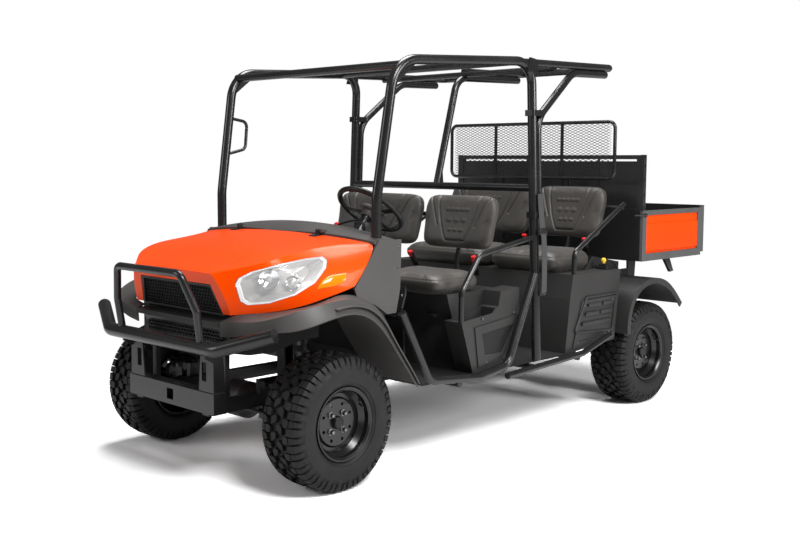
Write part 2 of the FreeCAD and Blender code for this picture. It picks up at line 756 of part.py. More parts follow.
def shock_tower():
    """Left tower plate that carries the upper eye of the front shock."""
    post_x = RAIL_X - RAIL_WIDTH / 2
    rows = [
        (post_x, RAIL_Z + RAIL_HEIGHT),
        (post_x + RAIL_WIDTH, RAIL_Z + RAIL_HEIGHT),
        (post_x + RAIL_WIDTH, SHOCK_TOP_Z - 60),
        (SHOCK_TOP_X + 26, SHOCK_TOP_Z - 26),
        (SHOCK_TOP_X + 26, SHOCK_TOP_Z + TOWER_RISE),
        (post_x, SHOCK_TOP_Z + TOWER_RISE),
    ]
    plates = []
    for y_from in (SHOCK_Y - 24 - TOWER_THICKNESS, SHOCK_Y + 24):
        plates.append(front_profile(rows, y_from, y_from + TOWER_THICKNESS))
    back = box_between(
        (post_x, SHOCK_Y - 24, RAIL_Z + RAIL_HEIGHT),
        (post_x + TOWER_THICKNESS, SHOCK_Y + 24, SHOCK_TOP_Z + TOWER_RISE))
    return plates[0].fuse([plates[1], back]).removeSplitter()


def front_drive():
    rows = [
        (-DIFF_HALF_WIDTH, 0), (-DIFF_HALF_WIDTH, DIFF_RADIUS * 0.5), (-DIFF_HALF_WIDTH * 0.6, DIFF_RADIUS),
        (DIFF_HALF_WIDTH * 0.6, DIFF_RADIUS), (DIFF_HALF_WIDTH, DIFF_RADIUS * 0.5), (DIFF_HALF_WIDTH, 0)]
    middle = revolved(rows, Vector(0, 0, TYRE_RADIUS))
    pieces = []
    for side in (1, -1):
        pieces.append(bar((0, 0, TYRE_RADIUS), (side * SHAFT_END_X, 0, TYRE_RADIUS), SHAFT_RADIUS))
        for start, way in ((DIFF_HALF_WIDTH, side), (SHAFT_END_X, -side)):
            foot = Vector(side * start, 0, TYRE_RADIUS)
            pieces.append(Part.makeCone(BOOT_RADIUS, BOOT_RADIUS * 0.7, BOOT_LENGTH, foot, Vector(way, 0, 0)))
    prop_end = WHEELBASE - REAR_CASE_RADIUS - RUNNING_GAP
    pieces.append(bar((0, DIFF_RADIUS * 0.8, TYRE_RADIUS), (0, prop_end, TYRE_RADIUS), PROP_RADIUS))
    return middle.fuse(pieces).removeSplitter()


def make_front_suspension():
    save_pair("knuckle", knuckle())
    save("tie_rods", tie_rods())
    lower, upper = front_arms()
    save("front_arms", Part.Compound([lower, upper, mirrored(lower), mirrored(upper)]))
    shock = coil_shock((SHOCK_FOOT_X, SHOCK_Y, SHOCK_FOOT_Z), (SHOCK_TOP_X, SHOCK_Y, SHOCK_TOP_Z), (0, 1, 0))
    save("front_shocks", both_sides(shock))
    save("front_drive", front_drive())


# Rear axle

AXLE_TUBE_RADIUS = 38.0
SPRING_LEAF_X = 400.0
LEAF_WIDTH = 60.0
LEAF_THICKNESS = 9.0
LEAF_COUNT = 3
LEAF_FRONT = WHEELBASE - 367.0
LEAF_REAR = WHEELBASE + 431.0
LEAF_EYE_Z = 471.0
LEAF_EYE_RADIUS = 16.0
LEAF_PIN_RADIUS = 9.0
SHACKLE_WALL = 12.0


def rear_axle():
    """Axle beam with its drive housing, brake backs and stub spindles."""
    z = TYRE_RADIUS
    y = WHEELBASE
    beam_end = HALF_TRACK + HUB_INNER_END - SHUT_GAP
    beam = bar((-beam_end, y, z), (beam_end, y, z), AXLE_TUBE_RADIUS)
    rows = [
        (-REAR_CASE_HALF_WIDTH, AXLE_TUBE_RADIUS - 1), (-REAR_CASE_HALF_WIDTH, AXLE_TUBE_RADIUS + 12),
        (-REAR_CASE_HALF_WIDTH / 2, REAR_CASE_RADIUS), (REAR_CASE_HALF_WIDTH / 2, REAR_CASE_RADIUS),
        (REAR_CASE_HALF_WIDTH, AXLE_TUBE_RADIUS + 12), (REAR_CASE_HALF_WIDTH, AXLE_TUBE_RADIUS - 1)]
    pieces = [revolved(rows, Vector(0, y, z))]
    for side in (1, -1):
        pieces.append(bar((side * beam_end, y, z), (side * (HALF_TRACK + SPINDLE_END), y, z), SPINDLE_RADIUS))
        pieces.append(bar((side * (beam_end - 60), y, z), (side * beam_end, y, z), HUB_RADIUS))
    return beam.fuse(pieces).removeSplitter()


def leaf_height(y):
    reach = LEAF_REAR - WHEELBASE if y > WHEELBASE else WHEELBASE - LEAF_FRONT
    share = abs(y - WHEELBASE) / reach
    level = TYRE_RADIUS + AXLE_TUBE_RADIUS + SEAT_GAP + LEAF_COUNT * LEAF_THICKNESS
    return level + (LEAF_EYE_Z - level) * share * share


def leaf_spring():
    """Left leaf pack: an arched main leaf with shorter leaves stepped under it."""
    shares = [index / LEAF_COUNT for index in range(LEAF_COUNT, 0, -1)]
    top = []
    for reach, sign in ((WHEELBASE - LEAF_FRONT, -1), (LEAF_REAR - WHEELBASE, 1)):
        side_rows = []
        for share in shares:
            y = WHEELBASE + sign * reach * share
            side_rows.append((y, leaf_height(y)))
        top.append(side_rows)
    middle = [(WHEELBASE, leaf_height(WHEELBASE))]
    outline = top[0] + middle + top[1][::-1]
    under = []
    for index, (y, z) in enumerate(top[1]):
        if index > 0:
            under.append((y, z - index * LEAF_THICKNESS))
        under.append((y, z - (index + 1) * LEAF_THICKNESS))
    under.append((WHEELBASE, leaf_height(WHEELBASE) - LEAF_COUNT * LEAF_THICKNESS))
    for index in range(LEAF_COUNT - 1, -1, -1):
        y, z = top[0][index]
        under.append((y, z - (index + 1) * LEAF_THICKNESS))
        if index > 0:
            under.append((y, z - index * LEAF_THICKNESS))
    body = side_profile(outline + under, SPRING_LEAF_X - LEAF_WIDTH / 2, SPRING_LEAF_X + LEAF_WIDTH / 2)
    eyes = []
    for y in (LEAF_FRONT, LEAF_REAR):
        eyes.append(bar(
            (SPRING_LEAF_X - LEAF_WIDTH / 2, y, LEAF_EYE_Z), (SPRING_LEAF_X + LEAF_WIDTH / 2, y, LEAF_EYE_Z), LEAF_EYE_RADIUS))
    return body.fuse(eyes).removeSplitter()


def leaf_hangers():
    """Left spring pins and the rear shackle on the chassis rail."""
    rail_face = RAIL_X + RAIL_WIDTH / 2
    end = SPRING_LEAF_X - LEAF_WIDTH / 2 - SEAT_GAP
    front = bar((rail_face, LEAF_FRONT, LEAF_EYE_Z), (end, LEAF_FRONT, LEAF_EYE_Z), LEAF_PIN_RADIUS)
    shackle_z = RAIL_REAR_Z + RAIL_HEIGHT / 2
    rear = bar((rail_face, LEAF_REAR, shackle_z), (end, LEAF_REAR, shackle_z), LEAF_PIN_RADIUS)
    plate = rounded_box(
        (end - SHACKLE_WALL, LEAF_REAR - LEAF_EYE_RADIUS, LEAF_EYE_Z - LEAF_EYE_RADIUS),
        (end, LEAF_REAR + LEAF_EYE_RADIUS, shackle_z + LEAF_EYE_RADIUS), LEAF_EYE_RADIUS * 0.8, "x")
    return [front, rear.fuse(plate).removeSplitter()]


def make_rear_axle():
    save("rear_axle", rear_axle())
    save("leaf_springs", both_sides(leaf_spring()))


# Chassis

def chassis_rail():
    low = RAIL_Z
    rise = RAIL_REAR_Z - RAIL_Z
    top = [
        (RAIL_FRONT, low),
        (RAIL_KICK_START, low),
        (RAIL_KICK_END, low + rise),
        (RAIL_REAR, low + rise),
    ]
    rows = top + [(y, z + RAIL_HEIGHT) for y, z in reversed(top)]
    return side_profile(rows, RAIL_X - RAIL_WIDTH / 2, RAIL_X + RAIL_WIDTH / 2)


def crossmembers():
    inner = RAIL_X - RAIL_WIDTH / 2
    outer = RAIL_X + RAIL_WIDTH / 2
    pieces = []
    low = RAIL_Z + CROSS_RISE
    for y in (-290.0, 470.0, FRONT_ROW + 210, B_POST_Y - 46, REAR_ROW - 20, ENGINE_FRONT + 20, ENGINE_FRONT + 180):
        pieces.append(box_between((-inner, y, low), (inner, y + CROSS_SIZE, low + CROSS_SIZE)))
    level = RAIL_REAR_Z + RAIL_HEIGHT / 2 - CROSS_SIZE / 2
    pieces.append(box_between((-inner, RAIL_REAR - CROSS_SIZE, level), (inner, RAIL_REAR, level + CROSS_SIZE)))
    pieces.append(bar((-inner, CYLINDER_FOOT[0], CYLINDER_FOOT[1]), (inner, CYLINDER_FOOT[0], CYLINDER_FOOT[1]), LIFT_PIN_RADIUS))
    for side in (1, -1):
        pieces.append(bar((side * outer, BED_HINGE_Y, BED_HINGE_Z), (side * (BED_HINGE_X + BED_BRACKET_WALL + 6), BED_HINGE_Y, BED_HINGE_Z), BED_PIN_RADIUS))
        rest_x = side * RAIL_X
        pieces.append(box_between(
            (rest_x - 20, BED_REST_Y, RAIL_REAR_Z + RAIL_HEIGHT), (rest_x + 20, BED_REST_Y + 50, BED_BOTTOM - SEAT_GAP)))
    pieces.append(shock_tower())
    pieces.append(mirrored(shock_tower()))
    half = ARM_BUSH_LENGTH / 2
    brackets = [box_between(
        (outer - HANGER_THICKNESS, UPPER_ARM_FEET[0] - half, RAIL_Z + RAIL_HEIGHT),
        (outer, UPPER_ARM_FEET[1] + half, UPPER_ARM_INNER_Z + ARM_BUSH_RADIUS))]
    for foot_y in LOWER_ARM_FEET:
        brackets.append(box_between(
            (outer - HANGER_THICKNESS, foot_y - half, LOWER_ARM_INNER_Z - ARM_BUSH_RADIUS),
            (outer, foot_y + half, RAIL_Z)))
    brackets += leaf_hangers()
    pieces += brackets + [mirrored(bracket) for bracket in brackets]
    tubes = [side_tube(), sill_tube(), front_hoop_side()]
    for y in (FRONT_ROW + 30, B_POST_Y - 26, REAR_ROW + 60):
        start = (outer, y, OUTRIGGER_Z)
        arm = bar(start, (SIDE_TUBE_X, y, OUTRIGGER_Z), OUTRIGGER_RADIUS).cut(tubes)
        arm = max(arm.Solids, key=lambda solid: solid.Volume)
        pieces += [arm, mirrored(arm)]
    post_y = FASCIA_FOOT_Y + FASCIA_WALL + SEAT_GAP
    post = box_between(
        (outer - NOSE_POST_WIDTH, post_y, RAIL_Z + RAIL_HEIGHT), (outer, post_y + NOSE_POST_DEPTH, NOSE_POST_TOP))
    tie = box_between(
        (-outer + NOSE_POST_WIDTH, post_y, NOSE_POST_TOP - NOSE_POST_WIDTH),
        (outer - NOSE_POST_WIDTH, post_y + NOSE_POST_DEPTH, NOSE_POST_TOP))
    pieces.append(post.fuse([mirrored(post), tie]).removeSplitter())
    return Part.Compound(pieces)


def make_chassis():
    save("chassis_rails", both_sides(chassis_rail()))
    save("crossmembers", crossmembers())
    bottom = RAIL_Z + CROSS_RISE + CROSS_SIZE + SEAT_GAP
    block = rounded_box(
        (-ENGINE_WIDTH / 2, ENGINE_FRONT, bottom),
        (ENGINE_WIDTH / 2, ENGINE_FRONT + ENGINE_LENGTH, bottom + ENGINE_HEIGHT),
        25, "z")
    save("engine_block", block)


# Front bumper

def bumper_bar():
    half = [
        (0.0, BUMPER_Y, BUMPER_Z),
        (428.0, BUMPER_Y, BUMPER_Z),
        (688.0, -361.0, 757.0),
    ]
    rows = [(-x, y, z) for x, y, z in reversed(half[1:])] + half[1:]
    return bent_bar(rows, BUMPER_RADIUS, 90)


def grille_guard():
    foot_z = BUMPER_Z + BUMPER_RADIUS * 0.6
    half = [
        (320.0, BUMPER_Y, foot_z),
        (324.0, -508.0, 838.0),
        (256.0, -548.0, 1006.0),
    ]
    rows = half + [(-x, y, z) for x, y, z in reversed(half)]
    hoop = bent_bar(rows, GUARD_RADIUS, 45)
    return hoop.cut(bumper_bar())


def bumper_mount():
    """Folded cross channel with a square receiver and two slotted uprights."""
    front = RAIL_FRONT - SEAT_GAP - PLATE_WALL
    back = front + PLATE_DEPTH
    channel = box_between((-PLATE_HALF_WIDTH, front, PLATE_BOTTOM), (PLATE_HALF_WIDTH, back, PLATE_TOP))
    hollow = box_between(
        (-PLATE_HALF_WIDTH + PLATE_WALL, front + PLATE_WALL, PLATE_BOTTOM - 1),
        (PLATE_HALF_WIDTH - PLATE_WALL, back + 1, PLATE_TOP - PLATE_WALL))
    channel = channel.cut(hollow)
    middle_z = (PLATE_TOP + PLATE_BOTTOM) / 2
    receiver = box_between(
        (-RECEIVER_HALF - PLATE_WALL, front, middle_z - RECEIVER_HALF - PLATE_WALL),
        (RECEIVER_HALF + PLATE_WALL, back, middle_z + RECEIVER_HALF + PLATE_WALL))
    bore = box_between(
        (-RECEIVER_HALF, front - 1, middle_z - RECEIVER_HALF),
        (RECEIVER_HALF, back + 1, middle_z + RECEIVER_HALF))
    body = channel.fuse(receiver).cut(bore)
    top = BUMPER_Z - BUMPER_RADIUS * 0.5
    for side in (1, -1):
        x_low = 222.0
        x_high = PLATE_HALF_WIDTH - 8
        rows = [(x_low, PLATE_TOP - 2), (x_high, PLATE_TOP - 2), (x_high - 6, top), (x_low + 18, top)]
        face = front_profile([(side * x, z) for x, z in rows], front + 6, front + 6 + PLATE_WALL)
        slot_x = side * (x_low + 42)
        slot = front_profile(
            [(slot_x - 17, 505), (slot_x + 17, 505), (slot_x + 17, 592), (slot_x - 17, 592)],
            front - 10, front + 40)
        face = face.cut(slot)
        rows = [(front + 6, PLATE_TOP - 2), (back, PLATE_TOP - 2), (back - 10, top - 40), (BUMPER_Y + 10, top), (BUMPER_Y + 10, top - 30), (front + 6, top - 60)]
        x_web = side * (x_high - PLATE_WALL)
        web = side_profile(rows, x_web, x_web + side * PLATE_WALL)
        shelf = box_between(
            (min(side * (x_low + 18), side * (x_high - 8)), BUMPER_Y + 8, top - 6),
            (max(side * (x_low + 18), side * (x_high - 8)), front + 14, top + 2))
        body = body.fuse([face, web, shelf])
    return body.cut(bumper_bar()).removeSplitter()


def make_bumper():
    save("bumper_bar", bumper_bar())
    save("grille_guard", grille_guard())
    save("bumper_mount", bumper_mount())


# Hood

def arc_edge(first, last, lift):
    """Shallow arc between two points, raised at its middle by a vector."""
    middle = (first + last) * 0.5 + lift
    return Part.Arc(first, middle, last).toShape()


def hood_section(station, inset, drop):
    y, low_x, low_z, shoulder_x, shoulder_z, crease_x, crease_z, middle_z = station
    low = Vector(low_x - inset, y, low_z - drop)
    shoulder = Vector(shoulder_x - inset, y, shoulder_z - inset)
    crease = Vector(crease_x, y, crease_z - inset)
    crown = Vector(0, y, middle_z - inset)
    left = [
        arc_edge(low, shoulder, Vector(HOOD_SIDE_BULGE, 0, HOOD_SIDE_BULGE)),
        arc_edge(shoulder, crease, Vector(0, 0, 4)),
    ]
    flip = Vector(1, 0, 0)
    right = [edge.mirror(Vector(0, 0, 0), flip) for edge in reversed(left)]
    crease_other = Vector(-crease.x, y, crease.z)
    crown_edge = Part.Arc(crease, crown, crease_other).toShape()
    bottom = Part.LineSegment(Vector(-low.x, y, low.z), low).toShape()
    return Part.Wire(Part.__sortEdges__(left + [crown_edge] + right + [bottom]))


def hood_solid(inset, drop):
    return loft([hood_section(station, inset, drop) for station in HOOD_STATIONS])


def nose_wedge(back):
    """Everything ahead of the leaning nose, taken back by a distance."""
    low, high = 700.0, HOOD_CUT_TOP
    lean = (NOSE_TOP[0] - NOSE_FOOT[0]) / (NOSE_TOP[1] - NOSE_FOOT[1])
    rows = [(NOSE_FOOT[0] + lean * (z - NOSE_FOOT[1]) + back, z) for z in (low, high)]
    return side_profile(rows + [(-900.0, high), (-900.0, low)], -900, 900)


def hood_shell():
    """Thin hood skin with a leaning nose, open below and behind."""
    outer = hood_solid(0, 0).cut(nose_wedge(0))
    inner = hood_solid(HOOD_WALL, HOOD_WALL)
    inner.translate(Vector(0, HOOD_WALL, 0))
    inner = inner.cut(nose_wedge(HOOD_WALL))
    rear_cut = side_profile(
        [(105.0, 700.0), (95.0, 925.0), (278.0, 1113.0), (278.0, HOOD_CUT_TOP), (900.0, HOOD_CUT_TOP), (900.0, 700.0)],
        -900, 900)
    corner_x = SEAT_HALF_WIDTH + 22
    plan_cut = plan_profile(
        [(0.0, HOOD_REAR_MIDDLE), (corner_x, HOOD_REAR_CORNER), (900.0, 290.0), (900.0, 900.0),
         (-900.0, 900.0), (-900.0, 290.0), (-corner_x, HOOD_REAR_CORNER)], 700, HOOD_CUT_TOP)
    hinge = hinge_knuckle(HOOD_HINGE_X, [(-7, 0), (7, 0), (4, -30), (-14, -30)])
    bore = hinge_pin(HINGE_PIN_RADIUS + RUNNING_GAP)
    shell = outer.cut(inner).cut([rear_cut, plan_cut])
    skin = max(shell.Solids, key=lambda solid: solid.Volume)
    return skin.fuse([hinge, mirrored(hinge)]).cut([bore, mirrored(bore)])


def hinge_knuckle(x_from, foot_rows):
    """Left hinge knuckle on the hood's axis; its foot is given from the axis as (y, z)."""
    start = (x_from, HOOD_HINGE_Y, HOOD_HINGE_Z)
    barrel = bar(start, (x_from + HINGE_WIDTH, HOOD_HINGE_Y, HOOD_HINGE_Z), HINGE_RADIUS)
    rows = [(HOOD_HINGE_Y + y, HOOD_HINGE_Z + z) for y, z in foot_rows]
    return barrel.fuse(side_profile(rows, x_from, x_from + HINGE_WIDTH))


def hinge_pin(radius):
    start = (HOOD_HINGE_X - 3, HOOD_HINGE_Y, HOOD_HINGE_Z)
    return bar(start, (HOOD_HINGE_X + 2 * HINGE_WIDTH - 3, HOOD_HINGE_Y, HOOD_HINGE_Z), radius)


def grille_prism(grow, y_from, y_to):
    half = [
        (GRILLE_TOP_HALF + grow, GRILLE_TOP_Z + grow),
        (GRILLE_BOTTOM_HALF + grow, GRILLE_BOTTOM_Z - grow),
    ]
    rows = half + [(-x, z) for x, z in reversed(half)]
    return front_profile(rows, y_from, y_to)


def nose_slab(near, far):
    """Slab that follows the lean of the nose, between two depths behind it."""
    lean = (NOSE_TOP[0] - NOSE_FOOT[0]) / (NOSE_TOP[1] - NOSE_FOOT[1])
    low, high = NOSE_FOOT[1] - 40, NOSE_TOP[1] + 40
    y_low = NOSE_FOOT[0] - lean * 40
    y_high = NOSE_TOP[0] + lean * 40
    rows = [(y_low + near, low), (y_high + near, high), (y_high + far, high), (y_low + far, low)]
    return side_profile(rows, -GRILLE_BOTTOM_HALF - 50, GRILLE_BOTTOM_HALF + 50)


LAMP_CORNERS = (
    (424.0, -352.0, 985.0),
    (417.0, -366.0, 958.0),
    (428.0, -346.0, 880.0),
    (444.0, -318.0, 861.0),
    (500.0, -236.0, 868.0),
    (562.0, -134.0, 902.0),
    (606.0, -52.0, 956.0),
    (627.0, -2.0, 1022.0),
    (622.0, 10.0, 1058.0),
    (602.0, 2.0, 1074.0),
    (560.0, -62.0, 1066.0),
    (505.0, -160.0, 1044.0),
    (450.0, -300.0, 1012.0),
)


def lamp_prism(grow):
    """Left headlamp outline, drawn out along the way the lamp faces."""
    facing = Vector(3657, -3080, 540).normalize()
    corners = vectors(LAMP_CORNERS)
    middle = Vector(0, 0, 0)
    for corner in corners:
        middle = middle + corner * (1.0 / len(corners))
    moved = []
    for corner in corners:
        out = corner - middle
        moved.append(corner + out * (grow / out.Length) - facing * 300)
    return closed_face(flatten(moved, facing)).extrude(facing * 600)


def flatten(points, normal):
    """Points moved along a normal into one plane."""
    base = points[0]
    return [p - normal * (p - base).dot(normal) for p in points]


def hood_parts():
    shell = hood_shell()
    outer = hood_solid(0, 0)
    core = hood_solid(LAMP_DEPTH, 0)
    core.translate(Vector(0, LAMP_DEPTH, 0))
    lamp = outer.cut(core).common(lamp_prism(0))
    biggest = max(lamp.Solids, key=lambda solid: solid.Volume)
    opening = lamp_prism(1.0)
    shell = shell.cut([opening, mirrored(opening), grille_prism(1.0, -700, -250)])
    return shell, biggest


def grille():
    """Leaning grille tray with a deep rim and level bars."""
    tray = grille_prism(0, -600, -200).common(nose_slab(GRILLE_INSET, GRILLE_INSET + GRILLE_DEPTH))
    hollow = grille_prism(-GRILLE_RIM, -600, -200).common(nose_slab(0, GRILLE_INSET + GRILLE_DEPTH - 4))
    bars = []
    pitch = (GRILLE_TOP_Z - GRILLE_BOTTOM_Z - 2 * GRILLE_RIM) / GRILLE_BARS
    layer = nose_slab(GRILLE_INSET + 8, GRILLE_INSET + GRILLE_DEPTH - 2).common(grille_prism(-2, -600, -200))
    for index in range(1, GRILLE_BARS):
        z = GRILLE_BOTTOM_Z + GRILLE_RIM + index * pitch - GRILLE_BAR_HEIGHT / 2
        bars.append(layer.common(box_between((-400, -600, z), (400, -200, z + GRILLE_BAR_HEIGHT))))
    middle = layer.common(box_between((-GRILLE_BAR_HEIGHT, -600, 700), (GRILLE_BAR_HEIGHT, -200, 1000)))
    return tray.cut(hollow).fuse(bars + [middle]).removeSplitter()


def make_hood():
    shell, lamp = hood_parts()
    save("hood", shell)
    save("headlamps", both_sides(lamp))
    save("grille", grille())


# Front fascia, fenders and side panels

LINER_ROWS = [
    (-80.0, 848.0),
    (30.0, 855.0),
    (120.0, 834.0),
    (210.0, 772.0),
    (293.0, 665.0),
    (397.0, 527.0),
    (459.0, 440.0),
]

# Front flare sections: inner edge, crease and lip foot, each as (x, y, z)
FLARE_SECTIONS = (
    ((340.0, -345.0, 797.0), (333.0, -392.0, 778.0), (333.0, -388.0, 712.0)),
    ((440.0, -330.0, 822.0), (455.0, -380.0, 792.0), (455.0, -374.0, 728.0)),
    ((500.0, -270.0, 828.0), (552.0, -356.0, 802.0), (550.0, -360.0, 748.0)),
    ((560.0, -200.0, 838.0), (640.0, -303.0, 826.0), (655.0, -312.0, 760.0)),
    ((600.0, -149.0, 848.0), (690.0, -233.0, 850.0), (720.0, -247.0, 772.0)),
    ((642.0, -60.0, 868.0), (735.0, -117.0, 876.0), (780.0, -132.0, 812.0)),
    ((682.0, 40.0, 900.0), (744.0, 30.0, 884.0), (790.0, 30.0, 826.0)),
    ((705.0, 140.0, 880.0), (746.0, 130.0, 862.0), (790.0, 110.0, 800.0)),
    ((715.0, 255.0, 810.0), (748.0, 235.0, 792.0), (790.0, 190.0, 742.0)),
    ((720.0, 335.0, 700.0), (748.0, 315.0, 686.0), (790.0, 272.0, 645.0)),
    ((722.0, 430.0, 560.0), (748.0, 412.0, 548.0), (790.0, 375.0, 518.0)),
    ((722.0, 497.0, 462.0), (748.0, 480.0, 452.0), (790.0, 445.0, 430.0)),
)


def even_sections(sections, steps):
    """Sections at even distances along the smooth lines through the given sections' corners."""
    lines = []
    for corner_line in zip(*sections):
        curve = Part.BSplineCurve()
        curve.interpolate(vectors(corner_line))
        lines.append(curve)
    lengths = [line.length() for line in lines]
    even = []
    for step in range(steps + 1):
        share = step / steps
        even.append([line.value(line.parameterAtDistance(length * share)) for line, length in zip(lines, lengths)])
    return even


def flare_section(corners, wall):
    """Closed bent strip of one wall thickness through three corners, in their own plane."""
    first, crease, last = corners
    across = (crease - first).normalize()
    normal = across.cross(last - crease).normalize()
    down = normal.cross(across)
    rows = [((p - first).dot(across), (p - first).dot(down)) for p in (first, crease, last)]
    closed = strip_rows(rows, wall)
    return Part.makePolygon([first + across * a + down * b for a, b in closed + closed[:1]])


def front_fender():
    """Left wheel arch: a creased flare, its liner and the bracket to the shock tower."""
    flare = loft([flare_section(corners, FLARE_WALL) for corners in even_sections(FLARE_SECTIONS, FLARE_STEPS)])
    flare = flare.cut([hood_solid(-SHUT_GAP, SHUT_GAP), side_panel()])
    flare = max(flare.Solids, key=lambda solid: solid.Volume)
    liner = curved_sheet(LINER_ROWS, LINER_WALL, LINER_INNER_X, FLARE_X - FLARE_WALL / 2)
    liner = liner.cut(hood_solid(-SHUT_GAP, SHUT_GAP))
    tower_top = SHOCK_TOP_Z + TOWER_RISE + SEAT_GAP
    rows = [(SHOCK_TOP_X - 12, tower_top), (LINER_INNER_X + 14, tower_top), (LINER_INNER_X + 14, LINER_ROWS[0][1] + 5)]
    bracket = front_profile(strip_rows(rows, LINER_WALL), SHOCK_Y - 20, SHOCK_Y + 16)
    return flare.fuse([liner, bracket])


def fascia():
    """Cap below the grille: a thin lip over a recessed panel."""
    rows = [
        (FASCIA_FOOT_Y - 10, 786.0),
        (FASCIA_FOOT_Y - 63, 778.0),
        (FASCIA_FOOT_Y - 63, 757.0),
        (FASCIA_FOOT_Y - 15, 746.0),
        (FASCIA_FOOT_Y, 716.0),
        (FASCIA_FOOT_Y, 660.0),
    ]
    return folded_sheet(rows, FASCIA_WALL, -FASCIA_HALF_WIDTH, FASCIA_HALF_WIDTH)


def side_panel_slab():
    return leaning_slab(*PANEL_TOP, *PANEL_FOOT, PANEL_WALL, 0, 600)


def panel_inner_x(z):
    """Where the side panels' inner faces stand at a height."""
    run = PANEL_FOOT[0] - PANEL_TOP[0]
    fall = PANEL_TOP[1] - PANEL_FOOT[1]
    share = (PANEL_TOP[1] - z) / fall
    return PANEL_TOP[0] + run * share - PANEL_WALL * math.hypot(run, fall) / fall - SEAT_GAP


def between_panels(shape):
    """The part of a shape that stands between the two side panels."""
    low, high = 700.0, 1400.0
    rows = [
        (panel_inner_x(low), low), (panel_inner_x(high), high), (-panel_inner_x(high), high), (-panel_inner_x(low), low)]
    return shape.common(front_profile(rows, 0, 1000))


def side_panel():
    """Left cowl side panel, leaning out toward its foot."""
    slab = side_panel_slab()
    rows = [
        (289.0, 1117.0),
        (306.0, 1136.0),
        (457.0, 1131.0),
        (430.0, 1010.0),
        (404.0, 900.0),
        (356.0, 790.0),
        (296.0, 790.0),
        (226.0, 838.0),
        (114.0, 884.0),
        (104.0, 921.0),
    ]
    return slab.common(side_profile(rows, 500, 900))


def make_front_body():
    save("front_fenders", both_sides(front_fender()))
    save("front_fascia", fascia())
    save("side_panels", both_sides(side_panel()))


# Cowl and dashboard

def arch_wire(y, half_width, edge_z, middle_z, wall):
    outer = Part.Arc(Vector(-half_width, y, edge_z), Vector(0, y, middle_z), Vector(half_width, y, edge_z))
    inner = Part.Arc(
        Vector(-half_width, y, edge_z - wall), Vector(0, y, middle_z - wall), Vector(half_width, y, edge_z - wall))
    edges = [outer.toShape(), inner.toShape()]
    for side in (1, -1):
        edges.append(Part.LineSegment(
            Vector(side * half_width, y, edge_z), Vector(side * half_width, y, edge_z - wall)).toShape())
    return Part.Wire(Part.__sortEdges__(edges))


def cowl():
    """Arched cowl top with the fixed halves of the hood hinges."""
    body = loft([
        arch_wire(COWL_FRONT + 4, COWL_LOFT_HALF, 1104, 1154, COWL_WALL),
        arch_wire(340, COWL_LOFT_HALF, 1127, 1194, COWL_WALL),
        arch_wire(COWL_REAR, COWL_LOFT_HALF, 1117, 1188, COWL_WALL),
    ])
    plan_cut = plan_profile(
        [(0.0, HOOD_REAR_MIDDLE + SHUT_GAP), (SEAT_HALF_WIDTH + 22, HOOD_REAR_CORNER + SHUT_GAP), (900.0, 296.0),
         (900.0, 0.0), (-900.0, 0.0), (-900.0, 296.0), (-SEAT_HALF_WIDTH - 22, HOOD_REAR_CORNER + SHUT_GAP)],
        700, 1400)
    feet = [post_sleeve(ROPS_RADIUS + SEAT_GAP), mirrored(post_sleeve(ROPS_RADIUS + SEAT_GAP))]
    body = between_panels(body).cut([plan_cut, column_bar(COLUMN_RADIUS + SEAT_GAP, 400)] + feet)
    hinge = hinge_knuckle(
        HOOD_HINGE_X + HINGE_WIDTH + RUNNING_GAP, [(-6, -6), (-2, 8), (36, 2), (36, -22), (20, -22), (20, -8)])
    pin = hinge_pin(HINGE_PIN_RADIUS)
    return body.fuse([hinge, pin, mirrored(hinge), mirrored(pin)])


def post_sleeve(radius):
    """Round space of the left front post where it passes the cowl."""
    low = Vector(*A_COWL) - (Vector(*A_KINK) - Vector(*A_COWL)).normalize() * 60
    return Part.makeCylinder(radius, 150, low, Vector(*A_KINK) - Vector(*A_COWL))


def dashboard():
    rows = [
        (COWL_REAR + 0.5, 1110.0),
        (COWL_REAR + 0.5, 1128.0),
        (505.0, 1118.0),
        (548.0, 1052.0),
        (530.0, 985.0),
        (470.0, 905.0),
        (FIREWALL_Y + 12, 800.0),
    ]
    body = between_panels(folded_sheet(rows, -PANEL_WALL, -COWL_LOFT_HALF, COWL_LOFT_HALF))
    corner = box_between((DASH_SHOULDER_X, COWL_REAR + 18, 700), (COWL_LOFT_HALF + 60, 700, 1200))
    tubes = [front_hoop_side(), mirrored(front_hoop_side())]
    return body.cut([column_bar(COLUMN_RADIUS + SEAT_GAP, 400), corner, mirrored(corner)] + tubes)


def column_direction():
    lean = math.radians(COLUMN_LEAN)
    return Vector(0, math.cos(lean), math.sin(lean))


def column_bar(radius, length):
    centre = Vector(*WHEEL_CENTRE)
    start = centre - column_direction() * (length + 34)
    return Part.makeCylinder(radius, length, start, column_direction())


def steering_wheel():
    centre = Vector(*WHEEL_CENTRE)
    axis = column_direction()
    rim = Part.makeTorus(WHEEL_RIM_RADIUS, WHEEL_GRIP_RADIUS, centre, axis)
    hub = Part.makeCylinder(34, 40, centre - axis * 33, axis)
    across = Vector(1, 0, 0)
    up = axis.cross(across)
    pieces = [hub]
    for angle in (0, 180, 270):
        way = across * math.cos(math.radians(angle)) + up * math.sin(math.radians(angle))
        start = centre - axis * 12 + way * 20
        end = centre + way * (WHEEL_RIM_RADIUS - 2)
        pieces.append(bar(tuple(start), tuple(end), 9))
    return rim.fuse(pieces).removeSplitter()


